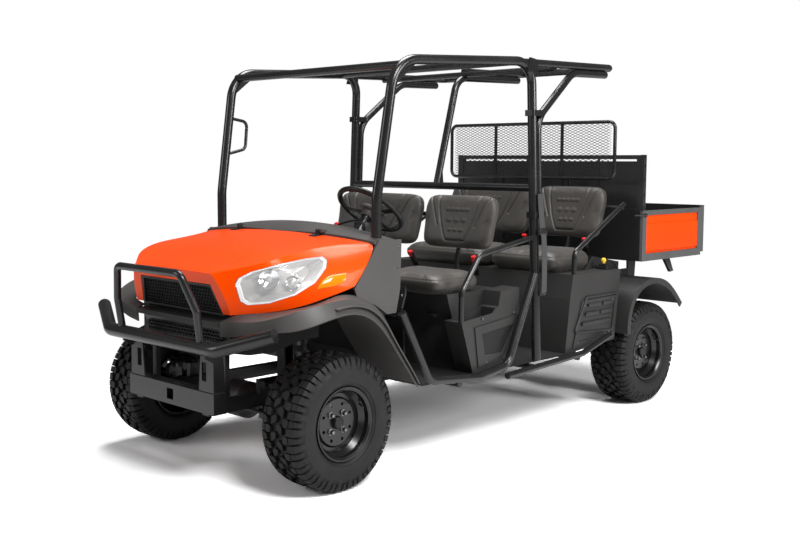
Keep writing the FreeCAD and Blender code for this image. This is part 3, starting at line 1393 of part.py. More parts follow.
def pedals():
    pieces = []
    for x, wide in ((300.0, 70.0), (430.0, 55.0)):
        lever = bent_bar([(x, FIREWALL_Y - 3, 780), (x, 470, 740), (x, 540, 520)], 8, 30)
        pad = Part.makeBox(wide, 90, 10, Vector(x - wide / 2, 495, 512))
        pad.rotate(Vector(x, 540, 520), Vector(1, 0, 0), -50)
        pieces.append(lever.fuse(pad).cut(floor_pan()).removeSplitter())
    return Part.Compound([max(piece.Solids, key=lambda solid: solid.Volume) for piece in pieces])


def make_cowl():
    save("cowl", cowl())
    save("dashboard", dashboard())
    save("steering_column", column_bar(COLUMN_RADIUS, COLUMN_LENGTH))
    save("steering_wheel", steering_wheel())
    save("pedals", pedals())


# Floor and seats

def floor_pan():
    rows = [
        (FIREWALL_Y, 797.0),
        (FIREWALL_Y + 14, 560.0),
        (560.0, FLOOR_Z + FLOOR_WALL),
        (FLOOR_REAR, FLOOR_Z + FLOOR_WALL),
    ]
    return folded_sheet(rows, -FLOOR_WALL, -FLOOR_HALF_WIDTH, FLOOR_HALF_WIDTH)


def seat_base(rows, half_width):
    """Box under a seat: a folded cover with closed ends, open below."""
    outer = side_profile(rows, -half_width, half_width)
    middle_y = sum(y for y, z in rows) / len(rows)
    top = max(z for y, z in rows)
    inner_rows = []
    for y, z in rows:
        inward = BASE_WALL if y < middle_y else -BASE_WALL
        level = z - BASE_WALL if z > (top + FLOOR_Z) / 2 else z - 1
        inner_rows.append((y + inward, level))
    return outer.cut(side_profile(inner_rows, -half_width + BASE_WALL, half_width - BASE_WALL))


def front_seat_base():
    """Box under the front seats, with a side pocket and a framed vent on each outer face."""
    base = FLOOR_Z + FLOOR_WALL
    pan = FRONT_CUSHION_TOP - CUSHION_HEIGHT
    rows = [
        (FRONT_ROW + 176, base),
        (FRONT_ROW + 160, 640.0),
        (FRONT_ROW + 100, pan),
        (FRONT_ROW + 535, pan),
        (FRONT_ROW + 540, 690.0),
        (FRONT_ROW + 480, base),
    ]
    middle = seat_base(rows, BASE_INNER_HALF)
    side_rows = [
        (FRONT_ROW + 176, base),
        (FRONT_ROW + 80, 688.0),
        (FRONT_ROW + 340, 712.0),
        (FRONT_ROW + 382, 745.0),
        (FRONT_ROW + 400, 822.0),
        (FRONT_ROW + 560, 832.0),
        (FRONT_ROW + 562, 690.0),
        (FRONT_ROW + 488, base),
    ]
    side = side_profile(side_rows, BASE_INNER_HALF, FLOOR_HALF_WIDTH)
    hollow = side_profile(
        [(FRONT_ROW + 190, base - 1), (FRONT_ROW + 142, 540.0), (FRONT_ROW + 508, 540.0), (FRONT_ROW + 474, base - 1)],
        BASE_INNER_HALF - 1, FLOOR_HALF_WIDTH - BASE_WALL)
    pocket = side_profile(
        [(FRONT_ROW + 150, 552.0), (FRONT_ROW + 118, 640.0), (FRONT_ROW + 106, 900.0), (FRONT_ROW + 380, 900.0),
         (FRONT_ROW + 360, 552.0)],
        BASE_INNER_HALF + BASE_WALL, FLOOR_HALF_WIDTH - BASE_WALL)
    side = side.cut([hollow, pocket])
    vent = vent_frame(
        [(FRONT_ROW + 182, 652.0), (FRONT_ROW + 545, 686.0), (FRONT_ROW + 530, 540.0), (FRONT_ROW + 486, 498.0),
         (FRONT_ROW + 214, 440.0)],
        [(FRONT_ROW + 240, 614.0), (FRONT_ROW + 512, 640.0), (FRONT_ROW + 402, 500.0), (FRONT_ROW + 264, 502.0)])
    side = side.fuse(vent)
    return middle.fuse([side, mirrored(side)]).removeSplitter()


def vent_frame(outer, inner):
    """Raised frame with a meshed opening on the left outer face of a seat base."""
    face = FLOOR_HALF_WIDTH
    frame = side_profile(outer, face - 1, face + VENT_FRAME_RISE)
    opening = side_profile(inner, face - 2, face + VENT_FRAME_RISE + 2)
    low = min(z for y, z in inner)
    high = max(z for y, z in inner)
    near = min(y for y, z in inner)
    far = max(y for y, z in inner)
    bars = []
    z = low + VENT_BAR_PITCH
    while z < high - VENT_BAR_WIDTH:
        bars.append(box_between((face - 1, near, z), (face + 2, far, z + VENT_BAR_WIDTH)))
        z += VENT_BAR_PITCH
    bars = [piece.common(opening) for piece in bars]
    return frame.cut(opening).fuse(bars)


def rear_seat_base():
    """Box under the rear seats, open behind, with a framed panel on each outer face."""
    base = FLOOR_Z + FLOOR_WALL
    pan = REAR_CUSHION_TOP - CUSHION_HEIGHT
    rows = [
        (REAR_ROW - 28, base),
        (REAR_ROW + 12, 720.0),
        (REAR_ROW + 40, pan),
        (REAR_ROW + 540, pan),
        (REAR_ROW + 522, 712.0),
        (REAR_ROW + 484, 440.0),
        (REAR_ROW + 80, base),
    ]
    body = side_profile(rows, -FLOOR_HALF_WIDTH, FLOOR_HALF_WIDTH)
    inner = [
        (REAR_ROW - 15, base - 1),
        (REAR_ROW + 12 + BASE_WALL, 716.0),
        (REAR_ROW + 50, pan - BASE_WALL),
        (REAR_ROW + 600, pan - BASE_WALL),
        (REAR_ROW + 600, base - 1),
    ]
    body = body.cut(side_profile(inner, -FLOOR_HALF_WIDTH + BASE_WALL, FLOOR_HALF_WIDTH - BASE_WALL))
    frame = vent_frame(
        [(REAR_ROW + 128, 703.0), (REAR_ROW + 505, 708.0), (REAR_ROW + 470, 452.0), (REAR_ROW + 40, 432.0)],
        [(REAR_ROW + 140, 680.0), (REAR_ROW + 470, 686.0), (REAR_ROW + 442, 482.0), (REAR_ROW + 72, 466.0)])
    return body.fuse([frame, mirrored(frame)]).removeSplitter()


def cushion(y_from, y_to, top, x_from, x_to):
    return rounded_box((x_from, y_from, top - CUSHION_HEIGHT + SEAT_GAP), (x_to, y_to, top), CUSHION_FILLET, "xyz")


def backrest(line, x_from, x_to):
    """Winged back pad standing on a leaning line of (y, z) foot and top."""
    (foot_y, foot_z), (top_y, top_z) = line
    up = Vector(0, top_y - foot_y, top_z - foot_z)
    behind = Vector(0, up.z, -up.y).normalize() * BACK_THICKNESS
    outline = (
        (34.0, 0.0), (-34.0, 0.0), (0.0, 0.24), (-2.0, 0.66), (-40.0, 1.0), (40.0, 1.0), (2.0, 0.66), (0.0, 0.24))
    corners = []
    for index, (inset, share) in enumerate(outline):
        edge = x_to if index in (1, 2, 3, 4) else x_from
        corners.append(Vector(edge + inset, foot_y, foot_z) + up * share)
    block = closed_face(corners).extrude(behind)
    return block.makeFillet(BACK_FILLET, block.Edges)


def make_seats():
    save("floor_pan", floor_pan())
    save("front_seat_base", front_seat_base())
    save("rear_seat_base", rear_seat_base())
    spans = ((SEAT_SPLIT_X + 5, SEAT_OUTER_X), (-SEAT_OUTER_X, SEAT_SPLIT_X - 5))
    cushions = [cushion(FRONT_ROW, FRONT_ROW + 395, FRONT_CUSHION_TOP, low, high) for low, high in spans]
    cushions += [cushion(REAR_ROW, REAR_ROW + 425, REAR_CUSHION_TOP, low, high) for low, high in spans]
    save("seat_cushions", Part.Compound(cushions))
    backs = [backrest(line, low, high) for line in (FRONT_BACK, REAR_BACK) for low, high in spans]
    save("seat_backrests", Part.Compound(backs))
    save("seat_back_frame", seat_back_frame())


def seat_back_frame():
    """Posts and cross tubes that carry the backrests from each seat base."""
    front_z = FRONT_CUSHION_TOP - CUSHION_HEIGHT
    rear_z = REAR_CUSHION_TOP - CUSHION_HEIGHT
    pieces = []
    for line, pan_z, reach in ((FRONT_BACK, front_z, BACK_TUBE_HALF), (REAR_BACK, rear_z, FLOOR_HALF_WIDTH - HAND_RAIL_IN)):
        foot, top = offset_rows(list(line), -(BACK_THICKNESS + BACK_POST_RADIUS + SEAT_GAP))
        level = 0.62
        tube_y = foot[0] + (top[0] - foot[0]) * level
        tube_z = foot[1] + (top[1] - foot[1]) * level
        tube = bar((-reach, tube_y, tube_z), (reach, tube_y, tube_z), BACK_POST_RADIUS)
        posts = []
        for x in (-BACK_POST_X, BACK_POST_X):
            rows = [(x, foot[0] - 4, pan_z), (x, foot[0] - 4, foot[1] - 30), (x, tube_y, tube_z)]
            posts.append(bent_bar(rows, BACK_POST_RADIUS, 40))
        pieces.append(tube.fuse(posts).removeSplitter())
    return Part.Compound(pieces)


# Side tubes and rails

def side_tube():
    rows = [
        (SIDE_TUBE_X, 366, 792),
        (SIDE_TUBE_X, 565, 436),
        (SIDE_TUBE_X, B_POST_Y - 516, 400),
        (SIDE_TUBE_X, B_POST_Y - 276, 430),
        (SIDE_TUBE_X - 4, B_POST_Y - 46, 900),
    ]
    tube = bent_bar(rows, SIDE_TUBE_RADIUS, 90)
    boss = bar((620, 383, 762), (SIDE_TUBE_X, 383, 762), SIDE_BOSS_RADIUS)
    return tube.fuse(boss).cut(front_hoop_side()).removeSplitter()


def sill_tube():
    rows = [
        (SIDE_TUBE_X, B_POST_Y - 276, 372),
        (SIDE_TUBE_X, REAR_ROW + 100, 405),
        (SIDE_TUBE_X, REAR_ROW + 380, 480),
    ]
    return bent_bar(rows, SIDE_TUBE_RADIUS - 4, 90)


def hip_rail():
    """Left front arm rail from the seat base up and back to the middle post."""
    x = FLOOR_HALF_WIDTH - HAND_RAIL_IN
    rows = [
        (x + 6, B_POST_Y - 16, 1092),
        (x, FRONT_ROW + 240, 1022),
        (x, FRONT_ROW + 96, 838),
        (x, FRONT_ROW + 96, 660),
    ]
    rail = bent_bar(rows, HIP_RAIL_RADIUS, 60).cut([front_hoop_side(), front_seat_base()])
    return max(rail.Solids, key=lambda solid: solid.Volume)


def rear_arm_rail():
    """Left rear arm rail from the seat base up and back to the seat-back tube."""
    x = FLOOR_HALF_WIDTH - HAND_RAIL_IN
    rows = [
        (x, REAR_ROW + 584, 1252),
        (x, REAR_ROW + 70, 985),
        (x, REAR_ROW + 70, REAR_CUSHION_TOP - CUSHION_HEIGHT),
    ]
    rail = bent_bar(rows, HIP_RAIL_RADIUS, 60).cut(seat_back_frame())
    return max(rail.Solids, key=lambda solid: solid.Volume)


def grab_handle():
    """Bent handle on the right front post, facing the passenger."""
    rows = []
    for y, z in ((400.0, 1745.0), (535.0, 1724.0), (518.0, 1572.0), (372.0, 1539.0)):
        share = (z - A_KINK[2]) / (A_TOP[2] - A_KINK[2])
        rows.append((-A_KINK[0] - (A_TOP[0] - A_KINK[0]) * share, y, z))
    handle = bent_bar(rows, HANDLE_RADIUS, 34).cut(mirrored(front_hoop_side()))
    return max(handle.Solids, key=lambda solid: solid.Volume)


def make_side_tubes():
    low = [side_tube(), sill_tube()]
    save("side_tubes", Part.Compound(low + [mirrored(tube) for tube in low]))
    high = [hip_rail(), rear_arm_rail()]
    save("hand_rails", Part.Compound(high + [mirrored(rail) for rail in high] + [grab_handle()]))


# Roll-over structure

def front_hoop_side():
    """Left front post, bent over into the roof rail and down into the middle post."""
    rows = [A_FOOT, A_COWL, A_KINK, A_TOP, B_TOP, B_SHOULDER, B_FOOT]
    points = vectors(rows)
    bends = (300.0, 300.0, ROPS_BEND, ROPS_BEND * 0.7, 300.0)
    return varied_bar(points, ROPS_RADIUS, bends)


def varied_bar(points, radius, bends):
    """Round bar whose corners each have their own bend radius."""
    edges = []
    start = points[0]
    for before, corner, after, bend in zip(points, points[1:], points[2:], bends):
        into = (corner - before).normalize()
        out = (after - corner).normalize()
        turn = into.getAngle(out)
        setback = bend * math.tan(turn / 2)
        first = corner - into * setback
        last = corner + out * setback
        sagitta = bend / math.cos(turn / 2) - bend
        middle = corner + (out - into).normalize() * sagitta
        edges.append(Part.LineSegment(start, first).toShape())
        edges.append(Part.Arc(first, middle, last).toShape())
        start = last
    edges.append(Part.LineSegment(start, points[-1]).toShape())
    ring = Part.Wire([Part.makeCircle(radius, points[0], points[1] - points[0])])
    return Part.Wire(edges).makePipeShell([ring], True, False)


def roof_rear_hoop():
    """Rear roof frame: a U of tube with a cross stay and a middle tube."""
    half = [(REAR_RAIL_X, REAR_RAIL_FRONT, REAR_RAIL_LOW), (REAR_RAIL_X - 4, REAR_CORNER_Y, REAR_RAIL_HIGH)]
    rows = half + [(-x, y, z) for x, y, z in reversed(half)]
    hoop = bent_bar(rows, CROSS_BAR_RADIUS, 60)
    stay = bar((-REAR_RAIL_X, ROOF_STAY_Y, ROOF_STAY_Z), (REAR_RAIL_X, ROOF_STAY_Y, ROOF_STAY_Z), ROOF_STAY_RADIUS)
    middle = bar((0, ROOF_STAY_Y, roof_middle_z()), (0, REAR_CORNER_Y, REAR_RAIL_HIGH), ROOF_STAY_RADIUS)
    side = front_hoop_side()
    frame = hoop.fuse([stay, middle]).cut([side, mirrored(side)])
    return max(frame.Solids, key=lambda solid: solid.Volume).removeSplitter()


def roof_middle_z():
    return REAR_RAIL_LOW + 8


def roof_crossbars():
    pieces = [
        bar((-A_TOP[0], FRONT_BAR_Y, FRONT_BAR_Z), (A_TOP[0], FRONT_BAR_Y, FRONT_BAR_Z), CROSS_BAR_RADIUS),
        bar((-A_TOP[0] - 30, B_POST_Y - 136, 2036), (A_TOP[0] + 30, B_POST_Y - 136, 2036), CROSS_BAR_RADIUS),
        bar((-B_SHOULDER[0], B_POST_Y, BACK_BAR_Z), (B_SHOULDER[0], B_POST_Y, BACK_BAR_Z), CROSS_BAR_RADIUS),
    ]
    hoop = front_hoop_side()
    rear = roof_rear_hoop()
    cut = [piece.cut([hoop, mirrored(hoop), rear]) for piece in pieces]
    return Part.Compound([max(piece.Solids, key=lambda solid: solid.Volume) for piece in cut])


def rear_strut():
    """Left brace that runs up behind the middle post and back under the rear rail."""
    behind = B_POST_Y + ROPS_RADIUS + STRUT_RADIUS + SEAT_GAP
    under = CROSS_BAR_RADIUS + STRUT_RADIUS + SEAT_GAP
    rise = (REAR_RAIL_HIGH - REAR_RAIL_LOW) / (REAR_CORNER_Y - REAR_RAIL_FRONT)
    knee_y = B_POST_Y + 400
    end_y = REAR_CORNER_Y - 84
    rows = [
        (post_x(STRUT_FOOT_Z), behind, STRUT_FOOT_Z),
        (post_x(CLAMP_Z - 30), behind, CLAMP_Z - 30),
        (REAR_RAIL_X, knee_y, REAR_RAIL_LOW + rise * (knee_y - REAR_RAIL_FRONT) - under),
        (REAR_RAIL_X - 3, end_y, REAR_RAIL_LOW + rise * (end_y - REAR_RAIL_FRONT) - under),
    ]
    return bent_bar(rows, STRUT_RADIUS, 150)


def post_x(z):
    """Where the left middle post stands at a height."""
    share = (z - B_SHOULDER[2]) / (B_TOP[2] - B_SHOULDER[2])
    return B_SHOULDER[0] + (B_TOP[0] - B_SHOULDER[0]) * share


def centre_strut():
    under = ROOF_STAY_RADIUS + STRUT_RADIUS + SEAT_GAP
    rows = [
        (0, B_POST_Y, BACK_BAR_Z),
        (0, B_POST_Y + 180, roof_middle_z() - under - 4),
        (0, REAR_CORNER_Y - 50, REAR_RAIL_HIGH - under - 3),
    ]
    return bent_bar(rows, STRUT_RADIUS, 110)


def post_clamp(z_from, z_to):
    """Left clamp block that ties the brace to the middle post."""
    x = post_x(z_from)
    block = rounded_box(
        (x - 32, B_POST_Y - ROPS_RADIUS - 6, z_from), (x + 32, B_POST_Y + ROPS_RADIUS + 2 * STRUT_RADIUS + 7, z_to), 14, "z")
    return block.cut([front_hoop_side(), rear_strut()])


def roof_brackets():
    """Gussets, clamps and joint plates of the roll-over structure."""
    hoop = front_hoop_side()
    x = A_TOP[0] - GUSSET_WALL / 2
    gusset = side_profile([(420, 1850), (610, 1992), (455, 1992)], x, x + GUSSET_WALL).cut(hoop)
    gusset = max(gusset.Solids, key=lambda solid: solid.Volume)
    plate_x = B_TOP[0] + ROPS_RADIUS + SEAT_GAP
    plate = side_profile(
        [(B_POST_Y - 70, 1985), (B_POST_Y - 40, 2062), (B_POST_Y + 30, 2052), (B_POST_Y + 22, 1985)],
        plate_x - 12, plate_x).cut([hoop, roof_rear_hoop()])
    plate = max(plate.Solids, key=lambda solid: solid.Volume)
    foot = side_profile(
        [(B_POST_Y + 12, BACK_BAR_Z + 8), (B_POST_Y + 14, BACK_BAR_Z + 90), (B_POST_Y + 50, BACK_BAR_Z + 90),
         (B_POST_Y + 60, BACK_BAR_Z - 2)],
        -GUSSET_WALL / 2, GUSSET_WALL / 2).cut([roof_crossbars(), centre_strut()])
    foot = max(foot.Solids, key=lambda solid: solid.Volume)
    pieces = [gusset, plate]
    for z in (STRUT_FOOT_Z, CLAMP_Z - CLAMP_HEIGHT / 2):
        clamp = post_clamp(z, z + CLAMP_HEIGHT)
        pieces += clamp.Solids
    return Part.Compound(pieces + [mirrored(piece) for piece in pieces] + [foot])


def make_rops():
    side = front_hoop_side()
    save("roof_hoops", both_sides(side))
    rear = roof_rear_hoop()
    save("roof_rear_hoop", rear)
    bars = roof_crossbars()
    save("roof_crossbars", bars)
    strut = rear_strut().cut([side, rear, bars])
    strut = max(strut.Solids, key=lambda solid: solid.Volume)
    middle = centre_strut().cut([rear, bars])
    middle = max(middle.Solids, key=lambda solid: solid.Volume)
    save("rear_struts", Part.Compound([strut, mirrored(strut), middle]))
    save("roof_brackets", roof_brackets())


# Rear screen

def rear_screen():
    """Tubular frame with two uprights and level bars, on two legs that rise from the chassis."""
    y = SCREEN_Y
    wall = SCREEN_TUBE
    outer = rounded_box((-SCREEN_HALF, y, SCREEN_LOW), (SCREEN_HALF, y + wall, SCREEN_HIGH), SCREEN_CORNER, "y")
    hole = rounded_box(
        (-SCREEN_HALF + wall, y - 1, SCREEN_LOW + wall), (SCREEN_HALF - wall, y + wall + 1, SCREEN_HIGH - wall),
        SCREEN_CORNER - wall / 2, "y")
    pieces = []
    legs = []
    for side in (1, -1):
        x = side * SCREEN_POST_X
        pieces.append(box_between(
            (x - wall / 2, y, SCREEN_LOW + wall - 1), (x + wall / 2, y + wall, SCREEN_HIGH - wall + 1)))
        rows = [
            (x, SCREEN_FOOT_Y, RAIL_REAR_Z + RAIL_HEIGHT), (x, SCREEN_FOOT_Y, SCREEN_LOW + wall / 2),
            (x, y + wall + SEAT_GAP, SCREEN_LOW + wall / 2)]
        legs.append(bent_bar(rows, BACK_POST_RADIUS, 25))
    pitch = (SCREEN_HIGH - SCREEN_LOW) / (SCREEN_BARS + 1)
    for index in range(SCREEN_BARS):
        z = SCREEN_LOW + pitch * (index + 1)
        pieces.append(box_between(
            (-SCREEN_HALF + wall - 1, y + wall / 2 - 2, z), (SCREEN_HALF - wall + 1, y + wall / 2 + 2, z + 5)))
    return Part.Compound([outer.cut(hole).fuse(pieces).removeSplitter()] + legs)


# Rear fenders

REAR_ARCH_ROWS = [
    (WHEELBASE - 304.0, 470.0),
    (WHEELBASE - 291.0, 600.0),
    (WHEELBASE - 229.0, 705.0),
    (WHEELBASE - 129.0, 765.0),
    (WHEELBASE - 9.0, 782.0),
    (WHEELBASE + 131.0, 752.0),
    (WHEELBASE + 241.0, 680.0),
    (WHEELBASE + 326.0, 600.0),
]
REAR_FENDER_INNER_X = 470.0
STAY_RADIUS = 8.0


def rear_fender():
    """Left rear wheel arch with three stays to the chassis rail."""
    skin = curved_sheet(REAR_ARCH_ROWS, FLARE_WALL, REAR_FENDER_INNER_X, FLARE_X)
    lip_rows = offset_rows(REAR_ARCH_ROWS, -FLARE_LIP + FLARE_WALL)
    lip = curved_sheet(lip_rows, FLARE_LIP - 1, FLARE_X - FLARE_WALL, FLARE_X)
    start = RAIL_X + RAIL_WIDTH / 2 + SEAT_GAP
    end = REAR_FENDER_INNER_X + 6
    mid = start + 40
    stays = []
    for foot_y, foot_z, end_y, end_z in (
            (WHEELBASE - 270, 575, WHEELBASE - 289, 590),
            (WHEELBASE + 51, 585, WHEELBASE + 51, 778),
            (WHEELBASE + 301, 575, WHEELBASE + 301, 622)):
        stays.append(bent_bar([(start, foot_y, foot_z), (mid, foot_y, foot_z), (end, end_y, end_z)], STAY_RADIUS, 20))
    return skin.fuse([lip] + stays).removeSplitter()


def rear_hitch():
    """Receiver tube with its cross beam and two side plates."""
    outer = RECEIVER_HALF + RECEIVER_WALL
    tube = box_between((-outer, RAIL_REAR - 220, HITCH_Z - outer), (outer, HITCH_END, HITCH_Z + outer))
    bore = box_between(
        (-RECEIVER_HALF, RAIL_REAR - 230, HITCH_Z - RECEIVER_HALF), (RECEIVER_HALF, HITCH_END + 10, HITCH_Z + RECEIVER_HALF))
    pin_y = HITCH_END - HITCH_PIN_BACK
    hole = bar((-200, pin_y, HITCH_Z), (200, pin_y, HITCH_Z), HITCH_PIN_RADIUS)
    beam_end = RAIL_X + RAIL_WIDTH / 2
    beam = box_between(
        (-beam_end, RAIL_REAR, RAIL_REAR_Z - 40), (beam_end, RAIL_REAR + RECEIVER_WALL, RAIL_REAR_Z + RAIL_HEIGHT))
    rows = [
        (RAIL_REAR - 120, HITCH_Z - outer), (RAIL_REAR + 70, HITCH_Z - outer), (RAIL_REAR + 70, HITCH_Z + outer),
        (RAIL_REAR + RECEIVER_WALL, RAIL_REAR_Z - 20), (RAIL_REAR, RAIL_REAR_Z - 20), (RAIL_REAR - 60, HITCH_Z + outer)]
    plate = side_profile(rows, outer, outer + RECEIVER_WALL)
    return tube.cut(bore).fuse([beam, plate, mirrored(plate)]).cut(hole).removeSplitter()


def tail_lamp():
    """Left tail lamp on the rear frame plate."""
    return rounded_box(
        (RAIL_X - 70, RAIL_REAR + RECEIVER_WALL, RAIL_REAR_Z - 26),
        (RAIL_X + 20, RAIL_REAR + RECEIVER_WALL + 34, RAIL_REAR_Z + 44), 8, "y")


def make_rear_body():
    save("rear_screen", rear_screen())
    save("rear_fenders", both_sides(rear_fender()))
    save("rear_hitch", rear_hitch())
    save("tail_lamps", both_sides(tail_lamp()))


# Cargo bed

def bed_tub():
    """Open box: floor, side walls and the lower part of the front wall."""
    outer = box_between((-BED_HALF_WIDTH, BED_FRONT, BED_BOTTOM), (BED_HALF_WIDTH, BED_REAR - TAILGATE_WALL - SHUT_GAP, BED_SIDE_TOP))
    hollow = box_between(
        (-BED_HALF_WIDTH + BED_WALL, BED_FRONT + BED_WALL, BED_BOTTOM + BED_FLOOR_WALL + 26),
        (BED_HALF_WIDTH - BED_WALL, BED_REAR + 50, BED_SIDE_TOP + 50))
    below = []
    for low, high in ((-700.0, -360.0), (-310.0, -60.0), (60.0, 310.0), (360.0, 700.0)):
        below.append(box_between(
            (low, BED_FRONT + 30, BED_BOTTOM - 5), (high, BED_REAR - 90, BED_BOTTOM + 26)))
    recesses = []
    panel_front, panel_rear = BED_FRONT + BED_FRAME_WIDTH, BED_REAR - TAILGATE_WALL - SHUT_GAP - BED_FRAME_WIDTH
    for side in (1, -1):
        core = side * (BED_HALF_WIDTH - BED_WALL + BED_WALL_CORE)
        rim = side * (BED_HALF_WIDTH + 5)
        recesses.append(box_between(
            (min(core, rim), panel_front, BED_BOTTOM + BED_FRAME_WIDTH),
            (max(core, rim), panel_rear, BED_SIDE_TOP - BED_FRAME_TOP)))
    return outer.cut([hollow] + below + recesses)


def headboard():
    """Tall front panel with a top rail over a slot, corner posts and pressed ribs."""
    half = BED_HALF_WIDTH - 4
    low = BED_SIDE_TOP
    block = box_between((-half, BED_FRONT, low), (half, BED_FRONT + BED_WALL, HEADBOARD_TOP))
    recess = box_between(
        (-half + HEADBOARD_POST, BED_FRONT + BED_WALL / 3, low + HEADBOARD_RAIL / 2),
        (half - HEADBOARD_POST, BED_FRONT + BED_WALL + 1, HEADBOARD_TOP - HEADBOARD_RAIL))
    face = box_between(
        (-half + HEADBOARD_POST, BED_FRONT - 1, low + HEADBOARD_RAIL / 2),
        (half - HEADBOARD_POST, BED_FRONT + HEADBOARD_STEP, HEADBOARD_TOP - HEADBOARD_RAIL))
    slots = []
    span = (2 * half - 2 * HEADBOARD_POST) / HEADBOARD_SLOTS
    for index in range(HEADBOARD_SLOTS):
        x = -half + HEADBOARD_POST + index * span + HEADBOARD_STEP
        top = HEADBOARD_TOP - HEADBOARD_RAIL
        slots.append(box_between((x, BED_FRONT - 1, top - HEADBOARD_SLOT), (x + span - 2 * HEADBOARD_STEP, BED_FRONT + 60, top)))
    ribs = []
    for index in range(1, HEADBOARD_SLOTS):
        x = -half + HEADBOARD_POST + index * span
        ribs.append(box_between(
            (x - HEADBOARD_STEP, BED_FRONT, low), (x + HEADBOARD_STEP, BED_FRONT + HEADBOARD_STEP + 1, HEADBOARD_TOP - HEADBOARD_RAIL)))
    return block.cut([recess, face] + slots).fuse(ribs).removeSplitter()


def tailgate_lug(grow):
    """Left hinge lug on the bed, with the cross pin that carries the tailgate."""
    axis_y, axis_z = TAILGATE_HINGE_Y, TAILGATE_HINGE_Z
    radius = TAILGATE_LUG_RADIUS + grow
    near, far = TAILGATE_HINGE_X - grow, TAILGATE_HINGE_X + TAILGATE_LUG_WALL + grow
    lug = bar((near, axis_y, axis_z), (far, axis_y, axis_z), radius)
    arm = box_between((near, axis_y - 40, axis_z - radius), (far, axis_y, axis_z + radius))
    return lug.fuse(arm)


def tailgate_pin(radius, length):
    start = TAILGATE_HINGE_X + TAILGATE_LUG_WALL - 1
    return bar(
        (start, TAILGATE_HINGE_Y, TAILGATE_HINGE_Z), (start + 1 + length, TAILGATE_HINGE_Y, TAILGATE_HINGE_Z), radius)


def tailgate_knuckle():
    start = TAILGATE_HINGE_X + TAILGATE_LUG_WALL + RUNNING_GAP
    round_part = bar(
        (start, TAILGATE_HINGE_Y, TAILGATE_HINGE_Z), (start + TAILGATE_KNUCKLE, TAILGATE_HINGE_Y, TAILGATE_HINGE_Z),
        TAILGATE_LUG_RADIUS - 2)
    web = box_between(
        (start, TAILGATE_HINGE_Y - 8, TAILGATE_HINGE_Z), (start + TAILGATE_KNUCKLE, TAILGATE_HINGE_Y + 8, TAILGATE_HINGE_Z + 20))
    return round_part.fuse(web)


def tailgate():
    low = BED_BOTTOM + BED_FLOOR_WALL + 6
    block = box_between(
        (-BED_HALF_WIDTH + 2, BED_REAR - TAILGATE_WALL, low), (BED_HALF_WIDTH - 2, BED_REAR, BED_SIDE_TOP + 16))
    panel = box_between(
        (-BED_HALF_WIDTH + 60, BED_REAR - 8, low + 50), (BED_HALF_WIDTH - 60, BED_REAR + 10, BED_SIDE_TOP - 34))
    notch = tailgate_lug(SHUT_GAP)
    knuckle = tailgate_knuckle()
    hole = tailgate_pin(TAILGATE_PIN_RADIUS + RUNNING_GAP, TAILGATE_KNUCKLE + 10)
    body = block.cut([panel, notch, mirrored(notch)]).fuse([knuckle, mirrored(knuckle)])
    return body.cut([hole, mirrored(hole)]).removeSplitter()


def bed_brackets():
    """Hinge brackets at the rear and the lift clevis under the floor."""
    rows = [
        (BED_HINGE_Y - 50, BED_BOTTOM + 1),
        (BED_HINGE_Y + 60, BED_BOTTOM + 1),
        (BED_HINGE_Y + 28, BED_HINGE_Z - 28),
        (BED_HINGE_Y - 28, BED_HINGE_Z - 28),
    ]
    plate = side_profile(rows, BED_HINGE_X, BED_HINGE_X + BED_BRACKET_WALL)
    hole = bar((0, BED_HINGE_Y, BED_HINGE_Z), (900, BED_HINGE_Y, BED_HINGE_Z), BED_PIN_RADIUS + RUNNING_GAP)
    plate = plate.cut(hole)
    lug_x = LIFT_EYE_WIDTH / 2 + SHUT_GAP
    eye_y, eye_z = CYLINDER_EYE
    rows = [
        (eye_y - 60, BED_BOTTOM + 1), (eye_y + 60, BED_BOTTOM + 1), (eye_y + 26, eye_z - 30), (eye_y - 26, eye_z - 30)]
    lug = side_profile(rows, lug_x, lug_x + LIFT_LUG_WALL)
    hinge = tailgate_lug(0).fuse(tailgate_pin(TAILGATE_PIN_RADIUS, TAILGATE_KNUCKLE))
    return [plate, mirrored(plate), lug, mirrored(lug), hinge, mirrored(hinge)]


def bed_side_panel():
    """Left outer side panel with a fold along its upper third."""
    front = BED_FRONT + BED_FRAME_WIDTH + SEAT_GAP
    rear = BED_REAR - TAILGATE_WALL - SHUT_GAP - BED_FRAME_WIDTH - SEAT_GAP
    x = BED_HALF_WIDTH - 2
    low = BED_BOTTOM + BED_FRAME_WIDTH + SEAT_GAP
    high = BED_SIDE_TOP - BED_FRAME_TOP - SEAT_GAP
    fold = high - (high - low) * BED_FOLD_SHARE
    rows = [(x - 8, low), (x - 8, low + 8), (x, low + 16), (x, fold), (x - 7, fold + 8), (x - 7, high)]
    return front_profile(strip_rows(rows, BED_PANEL_WALL), front, rear)


def make_bed():
    save("bed_tub", bed_tub().fuse(bed_brackets()).removeSplitter())
    save("bed_side_panels", both_sides(bed_side_panel()))
    save("headboard", headboard())
    save("tailgate", tailgate())


